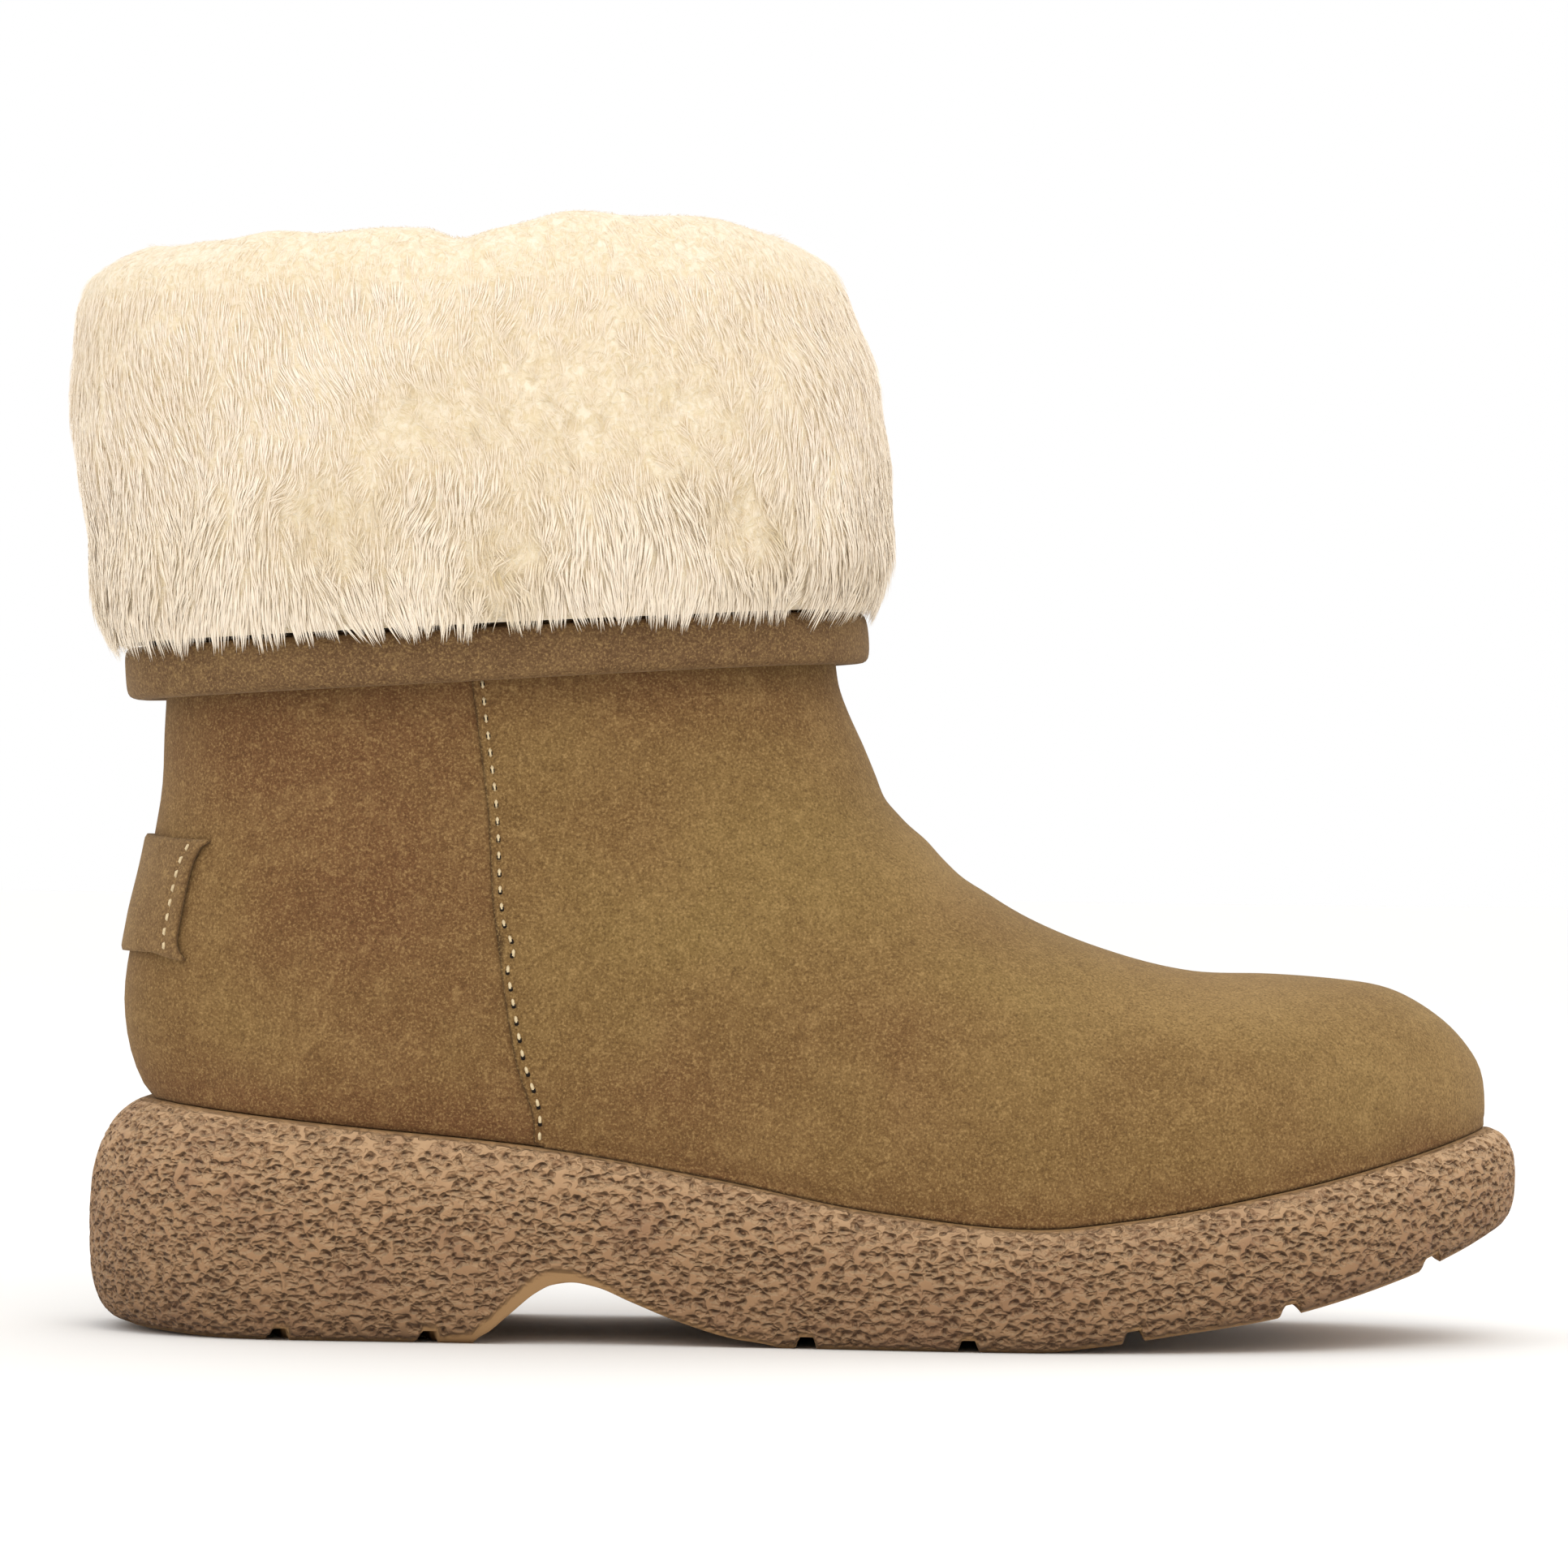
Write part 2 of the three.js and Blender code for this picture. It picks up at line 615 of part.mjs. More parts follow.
function makeFleece() {
  const rings = Array.from({ length: cuffTurns }, (_, i) => {
    const angle = (2 * Math.PI * i) / cuffTurns;
    const fold = foldAt(angle);
    const low = edgeAt(angle) + bindingHeight;
    const rim = rimHeight * rimShare(fold.x / upperLength);
    const inWall = -wall / 2;
    return [
      ...fleeceRows.map((row) => fleeceOuter(angle, row)),
      cuffPoint(angle, bindingThick + gap + edgeDrop, low - edgeDrop),
      cuffPoint(angle, bindingThick + gap, low + gap),
      cuffPoint(angle, inWall, low + gap),
      cuffPoint(angle, inWall, fold.z - mouthDepth),
      ...mouthRows.map((row) =>
        cuffPoint(angle, -wall - gap - row.in * mouthThick, fold.z + row.rim * rim - row.down * mouthDepth),
      ),
    ];
  });
  let fleece = hoop(rings);
  for (const lock of makeLocks()) fleece = fleece.add(lock);
  return fleece.subtract(collarWall());
}

// A lock of wool: a flat tuft that starts inside the fleece and tapers to its tip. "along" is a share of
// its length, "wide" a share of its width and "lift" a share of how far it stands out.
const tuftRows = [
  { along: -0.1, wide: 0.7, lift: -0.5 },
  { along: 0.45, wide: 1.0, lift: 0.55 },
  { along: 0.8, wide: 0.6, lift: 0.6 },
  { along: 1.0, wide: 0.06, lift: 0.2 },
];

function lockOf(root, down, side, length, width) {
  const outward = new THREE.Vector3(side.y, -side.x, 0).normalize();
  const rings = tuftRows.map((row) => {
    const corner = (across, lift) =>
      root
        .clone()
        .addScaledVector(down, row.along * length)
        .addScaledVector(side, across * row.wide * width)
        .addScaledVector(outward, (row.lift + lift * row.wide) * lockThick);
    return [corner(0.5, -0.5), corner(0, 0.5), corner(-0.5, -0.5)];
  });
  return loft(rings);
}

// Locks along the lower edge, and staggered rows of them on the face of the cuff.
const lockRows = [
  { up: 0.2, count: edgeLocks, long: 0.85, wide: 0.7 },
  { up: 0.44, count: faceLocks, long: 1, wide: 1 },
  { up: 0.68, count: faceLocks, long: 1.05, wide: 1 },
  { up: 0.92, count: faceLocks, long: 1.05, wide: 1 },
];
const lockDepth = 0.98; // share of the fleece's thickness at which a lock starts
const lockDrift = 0.2; // how far a lock moves aside, as a share of the step to the next one
const lockLean = 0.3; // sideways slope of a lock that leans most
const lockUneven = 0.16; // share by which the locks' lengths differ

function makeLocks() {
  return lockRows.flatMap((row, r) =>
    Array.from({ length: row.count }, (_, i) => {
      const sway = Math.sin(12.9 * i + 4.1 * r); // comes and goes with no clear rhythm
      const angle = (2 * Math.PI * (i + 0.5 * (r % 2) + lockDrift * sway)) / row.count;
      const root = fleeceOuter(angle, { out: lockDepth, up: row.up, rim: 0 });
      const below = fleeceOuter(angle, { out: lockDepth, up: row.up - 0.1, rim: 0 });
      const beside = fleeceOuter(angle + nudge, { out: lockDepth, up: row.up, rim: 0 });
      const side = beside.sub(root).normalize();
      const down = below.sub(root).normalize().addScaledVector(side, lockLean * sway).normalize();
      const length = lockLength * row.long * (1 + lockUneven * Math.sin(7.7 * i + r));
      return lockOf(root, down, side, length, lockWidth * row.wide);
    }),
  );
}

// The binding is a rolled strip of suede round the lower edge of the cuff.
const bindingRows = [
  { out: 0, up: 0.96 },
  { out: 0.84, up: 1 },
  { out: 1, up: 0.72 },
  { out: 0.98, up: 0.28 },
  { out: 0.8, up: 0.03 },
  { out: 0.1, up: 0 },
];

function makeBinding() {
  const rings = Array.from({ length: cuffTurns }, (_, i) => {
    const angle = (2 * Math.PI * i) / cuffTurns;
    const low = edgeAt(angle);
    return bindingRows.map((row) =>
      cuffPoint(angle, mix(-wall / 2, bindingThick, row.out), low + row.up * bindingHeight),
    );
  });
  return hoop(rings).subtract(bootForm(seamStep + gap, beyondFold));
}

// Heel tab, seen from the side: "round" is a share of its reach and "up" a share of its height.
const tabRows = [
  { round: -1, up: 1.02 },
  { round: 0.3, up: 1.02 },
  { round: 1.24, up: 0.99 },
  { round: 1.09, up: 0.885 },
  { round: 1.0, up: 0.74 },
  { round: 0.86, up: 0.3 },
  { round: 0.82, up: 0.11 },
  { round: 0.93, up: -0.06 },
  { round: 0.45, up: 0.0 },
  { round: -1, up: 0.0 },
];

function makeTab() {
  const outline = tabRows.map((row) => [
    row.round * tabReach,
    heelBed + tabBase + row.up * tabHeight,
  ]);
  return bootForm(gap + tabThick)
    .subtract(bootForm(gap, beyondFold))
    .intersect(acrossBoot(outline));
}

// Finishes
const finish = (color, roughness) => new THREE.MeshStandardMaterial({ color, roughness, metalness: 0 });
const tanSuede = finish(0x86663f, 0.95);
const bindingSuede = finish(0x826443, 0.95);
const creamFleece = finish(0xecdcc0, 1);
const crepeRubber = finish(0x8f7053, 0.85);

function meshOf(name, solid, material) {
  const made = solid.getMesh();
  const count = made.numVert;
  const flat = new Float32Array(count * 3);
  for (let i = 0; i < count; i++) {
    flat.set(made.vertProperties.subarray(i * made.numProp, i * made.numProp + 3), i * 3);
  }
  const geometry = new THREE.BufferGeometry()
    .setAttribute("position", new THREE.BufferAttribute(flat, 3))
    .setIndex(new THREE.BufferAttribute(made.triVerts, 1));
  geometry.computeVertexNormals();
  const mesh = new THREE.Mesh(geometry, material);
  mesh.name = name;
  return mesh;
}

const boot = new THREE.Group();
boot.add(meshOf("sole", makeSole(), crepeRubber));
boot.add(meshOf("upper", makeUpper(), tanSuede));
boot.add(meshOf("insole", makeInsole(), creamFleece));
boot.add(meshOf("cuff_fleece", makeFleece(), creamFleece));
boot.add(meshOf("cuff_binding", makeBinding(), bindingSuede));
boot.add(meshOf("heel_tab", makeTab(), tanSuede));

// The boot stands with the middle of its footprint over the origin.
const box = new THREE.Box3().setFromObject(boot);
const middle = box.getCenter(new THREE.Vector3());
boot.position.set(-middle.x, -middle.y, -box.min.z);

export default boot;
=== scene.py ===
import json
import math

import bmesh
import bpy
import numpy as np
from mathutils import Matrix, Vector

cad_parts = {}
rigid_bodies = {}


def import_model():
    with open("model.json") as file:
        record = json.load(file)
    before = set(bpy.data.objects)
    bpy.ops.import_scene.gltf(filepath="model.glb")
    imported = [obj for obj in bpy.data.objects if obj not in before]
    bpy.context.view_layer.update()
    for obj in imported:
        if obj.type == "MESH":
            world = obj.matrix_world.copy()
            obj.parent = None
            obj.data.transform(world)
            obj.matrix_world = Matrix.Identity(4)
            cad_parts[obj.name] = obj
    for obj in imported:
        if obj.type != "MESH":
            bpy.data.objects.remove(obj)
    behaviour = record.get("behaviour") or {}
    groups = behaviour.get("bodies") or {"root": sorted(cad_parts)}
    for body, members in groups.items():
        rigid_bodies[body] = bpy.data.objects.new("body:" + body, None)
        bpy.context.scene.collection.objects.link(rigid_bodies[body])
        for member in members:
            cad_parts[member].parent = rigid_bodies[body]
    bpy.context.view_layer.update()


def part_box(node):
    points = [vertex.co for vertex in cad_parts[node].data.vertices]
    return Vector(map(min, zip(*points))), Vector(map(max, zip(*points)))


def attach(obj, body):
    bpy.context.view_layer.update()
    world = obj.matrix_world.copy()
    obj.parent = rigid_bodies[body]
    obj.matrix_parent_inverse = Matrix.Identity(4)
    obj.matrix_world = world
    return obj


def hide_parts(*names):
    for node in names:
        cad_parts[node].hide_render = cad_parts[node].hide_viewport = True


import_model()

mm = 0.001  # the tables below are in millimetres, Blender is in metres
seed = 7
nudge = 0.02  # small step in row or angle, for slopes

# The boot's own sizes, as its last maker states them
last = {
    "length": 269, "ball": 99, "heel": 83, "shaft": 93, "instep": 110, "shaftRise": 73.5, "backRise": 157.5,
    "wall": 2.2, "seamStep": 0.9, "heelBed": 45.5, "ballBed": 23.5, "toeBed": 41.8, "gap": 0.3, "sink": 12,
}
foldHeight = last["heelBed"] + last["backRise"]


def mix(a, b, t):
    return a + (b - a) * t


def smooth(t):
    t = np.clip(t, 0, 1)
    return t * t * (3 - 2 * t)


def curveThrough(x, y):  # a smooth curve through rows of a table that never overshoots a row
    x, y = np.array(x, float), np.array(y, float)
    rise = np.diff(y) / np.diff(x)
    slope = np.concatenate([rise[:1], np.zeros(len(x) - 2), rise[-1:]])
    before, after = rise[:-1], rise[1:]
    same = before * after > 0
    slope[1:-1][same] = 2 * before[same] * after[same] / (before + after)[same]

    def at(value):
        value = np.asarray(value, float)
        i = np.clip(np.searchsorted(x, value, side="right") - 1, 0, len(x) - 2)
        span = x[i + 1] - x[i]
        t = np.clip((value - x[i]) / span, 0, 1)
        inner = (
            y[i] * (2 * t**3 - 3 * t**2 + 1) + y[i + 1] * (3 * t**2 - 2 * t**3)
            + span * (slope[i] * (t**3 - 2 * t**2 + t) + slope[i + 1] * (t**3 - t**2))
        )
        before = slope[0] * np.minimum(value - x[0], 0)
        after = slope[-1] * np.maximum(value - x[-1], 0)
        return inner + before + after

    return at


def halve(low, high, test):  # closes in on the place where the test turns false
    low, high = np.array(low, float), np.array(high, float)
    for _ in range(26):
        middle = (low + high) / 2
        passed = test(middle)
        low = np.where(passed, middle, low)
        high = np.where(passed, high, middle)
    return low


def softNoise(p, size, salt):  # smooth unevenness with lumps of about that size, from -1 to 1
    rng = np.random.default_rng(seed + salt)
    total = np.zeros(p.shape[:-1])
    waves = 8
    for _ in range(waves):
        direction = rng.normal(size=3)
        direction *= 2 * math.pi / size * rng.uniform(0.6, 1.4) / np.linalg.norm(direction)
        total += np.sin(p @ direction + rng.uniform(0, 2 * math.pi))
    return total / waves**0.5 / 1.4


def throughRows(rows, place):  # a smooth curve through rows of points, at places counted in rows
    i = np.clip(np.floor(place).astype(int), 0, len(rows) - 2)
    t = (place - i).reshape(place.shape + (1,) * (rows.ndim - 1))
    a, b, c, d = (rows[np.clip(k, 0, len(rows) - 1)] for k in (i - 1, i, i + 1, i + 2))
    return b + 0.5 * t * (c - a + t * (2 * a - 5 * b + 4 * c - d + t * (3 * (b - c) + d - a)))


def columnCurve(rows, x, y, xUnit=1, yUnit=1):  # a curve through two columns of a table
    return curveThrough([r[x] * xUnit for r in rows], [r[y] * yUnit for r in rows])


def runningSum(steps):
    return np.concatenate([[0], np.cumsum(steps)])


def unit(vectors):
    return vectors / np.linalg.norm(vectors, axis=-1, keepdims=True)


def hump(distance, width):  # 1 at no distance, falling off softly over about that width
    return np.exp(-((distance / width) ** 2))


# Bed of the sole: share of the length, share of the climb to the heel, share of the climb to the toe
bedRows = [
    (0.0, 1.02, 0), (0.157, 0.823, 0), (0.306, 0.655, 0), (0.436, 0.395, 0), (0.555, 0.123, 0),
    (0.666, 0, 0), (0.733, 0, 0.098), (0.845, 0, 0.4), (0.938, 0, 0.73), (1.0, 0, 1),
]
heelShare, toeShare = columnCurve(bedRows, 0, 1), columnCurve(bedRows, 0, 2)


def bedAt(x):
    u = x / last["length"]
    climb = heelShare(u) * (last["heelBed"] - last["ballBed"]) + toeShare(u) * (last["toeBed"] - last["ballBed"])
    return last["ballBed"] + climb


# Sections of the foot from the toe back: top at, top up, under at, down (None: just below the bed), outer and inner
# half width, widest place, crown, base, swing to the inner side. The last three are measured in heel widths.
footRows = [
    (1.0, 0.208, 1.0, 0.201, 0.004, 0.004, 0.5, 2.0, 2.0, 0.07),
    (0.997, 0.263, 0.997, 0.135, 0.071, 0.075, 0.5, 2.1, 2.3, 0.069),
    (0.988, 0.306, 0.988, 0.085, 0.137, 0.144, 0.52, 2.2, 2.6, 0.067),
    (0.972, 0.351, 0.972, 0.045, 0.21, 0.222, 0.55, 2.3, 3.0, 0.063),
    (0.949, 0.389, 0.949, None, 0.275, 0.288, 0.58, 2.35, 3.3, 0.056),
    (0.924, 0.413, 0.924, None, 0.335, 0.345, 0.6, 2.4, 3.6, 0.047),
    (0.889, 0.426, 0.889, None, 0.4, 0.4, 0.62, 2.4, 3.8, 0.034),
    (0.841, 0.435, 0.841, None, 0.457, 0.45, 0.64, 2.35, 3.9, 0.018),
    (0.781, 0.442, 0.781, None, 0.498, 0.483, 0.65, 2.3, 3.9, 0.007),
    (0.722, 0.473, 0.722, None, 0.52, 0.492, 0.66, 2.25, 3.9, 0),
    (0.659, 0.53, 0.651, None, 0.528, 0.476, 0.66, 2.2, 3.9, -0.003),
    (0.607, 0.615, 0.577, None, 0.515, 0.448, 0.65, 2.15, 3.9, -0.004),
    (0.571, 0.696, 0.491, None, 0.492, 0.425, 0.63, 2.15, 4.0, -0.003),
    (0.549, 0.774, 0.395, None, 0.472, 0.415, 0.6, 2.15, 4.0, 0),
    (0.535, 0.845, 0.283, None, 0.552, 0.505, 0.57, 2.15, 4.0, 0),
    (0.525, 0.899, 0.164, None, 0.536, 0.505, 0.54, 2.15, 3.8, 0),
    (0.518, 0.946, 0.066, None, 0.527, 0.505, 0.52, 2.15, 3.4, 0),
]
ankleRowsFromEnd = 3

# Sections of the shaft: front at, front up, rear at, rear up, outer and inner half width, crown, base.
# The first four are measured in heel widths and the rest in shaft widths.
shaftRows = [
    (0.5145, -0.014, 0.017, 0.006, 0.505, 0.483, 2.15, 2.75),
    (0.511, 0.068, 0.0, 0.105, 0.504, 0.488, 2.15, 2.6),
    (0.508, 0.163, 0.0065, 0.219, 0.505, 0.495, 2.15, 2.5),
    (0.507, 0.272, 0.0205, 0.333, 0.508, 0.503, 2.15, 2.4),
    (0.506, 0.395, 0.027, 0.46, 0.466, 0.464, 2.15, 2.35),
    (0.505, 0.54, 0.0245, 0.6, 0.472, 0.47, 2.15, 2.3),
    (0.502, 0.7, 0.0125, 0.765, 0.482, 0.482, 2.15, 2.25),
    (0.4965, 0.87, -0.0005, 0.917, 0.493, 0.493, 2.15, 2.2),
    (0.492, 1.0, -0.0065, 1.0, 0.5, 0.5, 2.15, 2.2),
]
heelWideShaftRows = 4


def lastSections():
    rows = []
    for i, (at, up, under, down, lat, med, wide, crown, base, swing) in enumerate(footRows):
        of = last["heel"] if i >= len(footRows) - ankleRowsFromEnd else last["ball"]
        lowX = under * last["length"]
        lowZ = bedAt(lowX) - last["sink"] if down is None else last["ballBed"] + down * last["instep"]
        topZ = last["ballBed"] + up * last["instep"]
        rows.append((at * last["length"], topZ, lowX, float(lowZ), lat * of, med * of, wide, crown, base,
                     swing * last["ball"]))
    for i, (at, up, rear, back, lat, med, crown, base) in enumerate(shaftRows):
        of = last["heel"] if i < heelWideShaftRows else last["shaft"]
        topZ = last["ballBed"] + last["instep"] + up * last["shaftRise"]
        lowZ = last["heelBed"] + back * last["backRise"]
        rows.append((at * last["length"], topZ, rear * last["length"], lowZ, lat * of, med * of, 0.5, crown, base, 0))
    return np.array(rows, float)


sections = lastSections()
lastRow = len(sections) - 1
ankleRow = len(footRows) - ankleRowsFromEnd


def formPoint(s, angle):  # angle 0 is the top or front of a section, a quarter turn is its inner side
    s, angle = np.broadcast_arrays(np.asarray(s, float), np.asarray(angle, float))
    row = throughRows(sections, s)
    topX, topZ, lowX, lowZ, lat, med, wide, crown, base, swing = np.moveaxis(row, -1, 0)
    over, across = np.cos(angle), np.sin(angle)
    power = 2 / np.where(over > 0, crown, base)
    share = wide - np.abs(over) ** power * np.where(over > 0, wide, wide - 1)
    y = swing + np.abs(across) ** power * np.where(across > 0, med, -lat)
    return np.stack([mix(topX, lowX, share), y, mix(topZ, lowZ, share)], axis=-1)


def formNormal(s, angle):
    s, angle = np.broadcast_arrays(np.asarray(s, float), np.asarray(angle, float))
    high = np.minimum(s + nudge, lastRow)
    low = np.maximum(s - nudge, 0.0)
    along = formPoint(high, angle) - formPoint(low, angle)
    round_ = formPoint(s, angle + nudge) - formPoint(s, angle - nudge)
    normal = np.cross(round_, along)
    length = np.linalg.norm(normal, axis=-1, keepdims=True)
    normal = normal / np.maximum(length, 1e-9)
    return np.where(s[..., None] < nudge, np.array([1.0, 0, 0]), normal)


def cornerShift():  # from the last's own zero to the frame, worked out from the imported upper
    ring = np.linspace(0, 2 * math.pi, 33)[:-1]
    s, angle = np.meshgrid(np.arange(lastRow + 1), ring, indexing="ij")
    points = formPoint(s, angle)
    low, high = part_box("upper")
    low, high = np.array(low) / mm, np.array(high) / mm
    shiftX = low[0] - points[..., 0].min()
    shiftY = low[1] - (points[..., 1].min() - last["seamStep"])
    return np.array([shiftX, shiftY, 0.0])


shift = cornerShift()
print("last: shift", shift.round(2), "mm from its own zero to the frame's")


# Meshes
def gridFaces(rows, columns, closeRows=False, closeColumns=False):
    i = np.arange(rows if closeRows else rows - 1)
    j = np.arange(columns if closeColumns else columns - 1)
    i, j = np.meshgrid(i, j, indexing="ij")
    nextI, nextJ = (i + 1) % rows, (j + 1) % columns
    quads = np.stack([i * columns + j, i * columns + nextJ, nextI * columns + nextJ, nextI * columns + j], axis=-1)
    return quads.reshape(-1, 4)


def addObject(name, data):
    added = bpy.data.objects.new(name, data)
    bpy.context.scene.collection.objects.link(added)
    return added


def addMesh(name, points, edges, faces):
    mesh = bpy.data.meshes.new(name)
    mesh.from_pydata(points, edges, faces)
    return addObject(name, mesh), mesh


def toFrame(points):  # from the last's own millimetres to the frame's metres
    return ((np.asarray(points).reshape(-1, 3) + shift) * mm).tolist()


def makePiece(name, points, faces, material, merge=0.0005, **floats):  # points in the last's own millimetres
    piece, mesh = addMesh(name, toFrame(points), [], faces.tolist())
    for word, values in floats.items():
        setFloats(piece, word, values)
    tidy = bmesh.new()
    tidy.from_mesh(mesh)
    bmesh.ops.remove_doubles(tidy, verts=tidy.verts, dist=merge * mm)
    bmesh.ops.dissolve_degenerate(tidy, edges=tidy.edges, dist=merge * mm)
    tidy.to_mesh(mesh)
    tidy.free()
    mesh.shade_smooth()
    mesh.materials.append(material)
    return piece


def settle(piece):  # makes the modifiers part of the mesh
    graph = bpy.context.evaluated_depsgraph_get()
    done = bpy.data.meshes.new_from_object(piece.evaluated_get(graph), preserve_all_data_layers=True, depsgraph=graph)
    piece.modifiers.clear()
    old = piece.data
    piece.data = done
    bpy.data.meshes.remove(old)
    done.name = piece.name
    return piece


def thicken(piece, thickness):
    solid = piece.modifiers.new("thickness", "SOLIDIFY")
    solid.thickness = thickness * mm
    solid.offset = -1
    solid.use_even_offset = False
    return settle(piece)


def setFloats(piece, name, values, kind="FLOAT"):
    attribute = piece.data.attributes.new(name, kind, "POINT")
    key = "value" if kind == "FLOAT" else "vector"
    attribute.data.foreach_set(key, np.asarray(values, float).ravel())


# Materials
def linear(hexColor):
    channels = [int(hexColor[i:i + 2], 16) / 255 for i in (1, 3, 5)]
    return (*[c / 12.92 if c <= 0.04045 else ((c + 0.055) / 1.055) ** 2.4 for c in channels], 1.0)


def addNode(tree, kind, sockets=None, **settings):  # one node, its settings, values and links
    node = tree.nodes.new(kind)
    for name, value in settings.items():
        setattr(node, name, value)
    for socket, value in (sockets or {}).items():
        if isinstance(value, bpy.types.NodeSocket):
            tree.links.new(value, node.inputs[socket])
        else:
            node.inputs[socket].default_value = value
    return node


def newMaterial(name, noises=(), stored=()):  # each noise: size in millimetres, detail, roughness, distortion
    material = bpy.data.materials.new(name)
    material.use_nodes = True
    tree = material.node_tree
    tree.nodes.clear()
    place = addNode(tree, "ShaderNodeTexCoord").outputs["Object"]
    values = [
        addNode(tree, "ShaderNodeTexNoise", {
            "Vector": place, "Scale": 1 / (size * mm), "Detail": detail, "Roughness": roughness,
            "Distortion": distortion}).outputs["Fac"]
        for size, detail, roughness, distortion in noises
    ]
    values += [addNode(tree, "ShaderNodeAttribute", attribute_name=word).outputs["Fac"] for word in stored]
    return material, tree, place, values


def layOver(tree, color, layers):  # lays colours over one another: value, where it starts and ends, share, colour
    for value, low, high, most, hexColor in layers:
        share = addNode(tree, "ShaderNodeMapRange", {
            "Value": value, "From Min": low, "From Max": high, "To Max": most}).outputs["Result"]
        color = addNode(tree, "ShaderNodeMix", {0: share, 6: color, 7: linear(hexColor)}, data_type="RGBA").outputs[2]
    return color


def finishMaterial(tree, color, bumps, **shader):  # bumps: (height socket, strength, distance in mm)
    normal = None
    for height, strength, distance in bumps:
        sockets = {"Height": height, "Strength": strength, "Distance": distance * mm}
        if normal:
            sockets["Normal"] = normal
        normal = addNode(tree, "ShaderNodeBump", sockets).outputs["Normal"]
    sockets = {"Base Color": color, **{name.replace("_", " "): value for name, value in shader.items()}}
    if normal:
        sockets["Normal"] = normal
    surface = addNode(tree, "ShaderNodeBsdfPrincipled", sockets).outputs["BSDF"]
    addNode(tree, "ShaderNodeOutputMaterial", {"Surface": surface})


suedeLook = {
    "olive": "#7c6339", "brown": "#6b4a2e", "light": "#b0915f", "dark": "#432d19", "sheen": "#e6cba0",
    "blotch": 30, "cloud": 12, "nap": 2.8, "speck": 0.5, "edge": "#3a2716", "oliveShare": 0.45, "wearAndHighlightShare": 0.35,
}


def brushedSuede(name, look):  # sheepskin suede, sanded: soft blotches where the nap lies another way, pale rims
    material, tree, _, (blotch, cloud, nap, speck, olive, worn, cutEdge) = newMaterial(name, [
        (look["blotch"], 3.0, 0.5, 0.4), (look["cloud"], 3.0, 0.6, 0.8), (look["nap"], 3.0, 0.65, 1.0),
        (look["speck"], 2.0, 0.75, 0.0)], ("olive", "worn", "cutEdge"))
    tones = []  # how olive and how pale it is: laid one by one, and unsettled by the larger noises
    for tone, share, value, low, high, least, most in (
        (olive, look["oliveShare"], blotch, 0.3, 0.7, 0.32, 0.68),
        # the pale tone: partly wear, partly painted highlight on the instep ridge and toe top
        (worn, look["wearAndHighlightShare"], cloud, 0.45, 0.8, 0.0, 0.16),
    ):
        rest = addNode(tree, "ShaderNodeMapRange", {
            "Value": value, "From Min": low, "From Max": high, "To Min": least, "To Max": most}).outputs["Result"]
        tones += addNode(tree, "ShaderNodeMath", {0: tone, 1: share, 2: rest},
                         operation="MULTIPLY_ADD", use_clamp=True).outputs[:1]
    color = layOver(tree, linear(look["brown"]), [
        (tones[0], 0.0, 1.0, 1.0, look["olive"]), (tones[1], 0.0, 1.0, 1.0, look["light"]),
        # partly the raw cut edge's darker colour, partly a painted shadow along the seam's step
        (cutEdge, 0.0, 1.0, 1.0, look["edge"]),
        (nap, 0.52, 0.75, 0.25, look["dark"]), (nap, 0.48, 0.3, 0.2, look["light"]),
        (speck, 0.52, 0.7, 0.55, look["light"]), (speck, 0.48, 0.3, 0.6, look["dark"]),
    ])
    finishMaterial(tree, color, [(nap, 0.3, 0.3), (speck, 0.6, 0.15)],
                   Roughness=0.92, Sheen_Weight=0.14, Sheen_Roughness=0.5, Sheen_Tint=linear(look["sheen"]),
                   Specular_IOR_Level=0.15)
    return material


crepeLook = {
    "ridge": "#a37f5c", "middle": "#7e5d41", "pit": "#2a170b", "upLit": "#cfae88", "rose": "#7c5743",
    "plain": "#98764f", "low": "#5f452f", "grain": 1.85, "blotch": 9, "fine": 0.4, "darkest": 6, "lightest": 34,
    "slopeBump": 0.9, "bump": 1.2,
}


def crumple(tree, place, grain):  # pits in a net of ridges; the socket's value is 0 in a pit and nears 1 on a ridge
    wide = addNode(tree, "ShaderNodeVectorMath", {0: place, 1: (1.0, 1.0, 1.35)}, operation="MULTIPLY").outputs[0]
    wobble = addNode(tree, "ShaderNodeTexNoise", {"Vector": wide, "Scale": 0.8 / (grain * mm), "Detail": 1.0})
    wobble = addNode(tree, "ShaderNodeVectorMath", {
        0: wobble.outputs["Color"], 1: (1.6 * grain * mm,) * 3, 2: wide}, operation="MULTIPLY_ADD").outputs[0]
    cells = addNode(tree, "ShaderNodeTexVoronoi", {
        "Vector": wobble, "Scale": 1 / (grain * mm), "Smoothness": 0.2}, feature="SMOOTH_F1")
    return cells.outputs["Distance"]


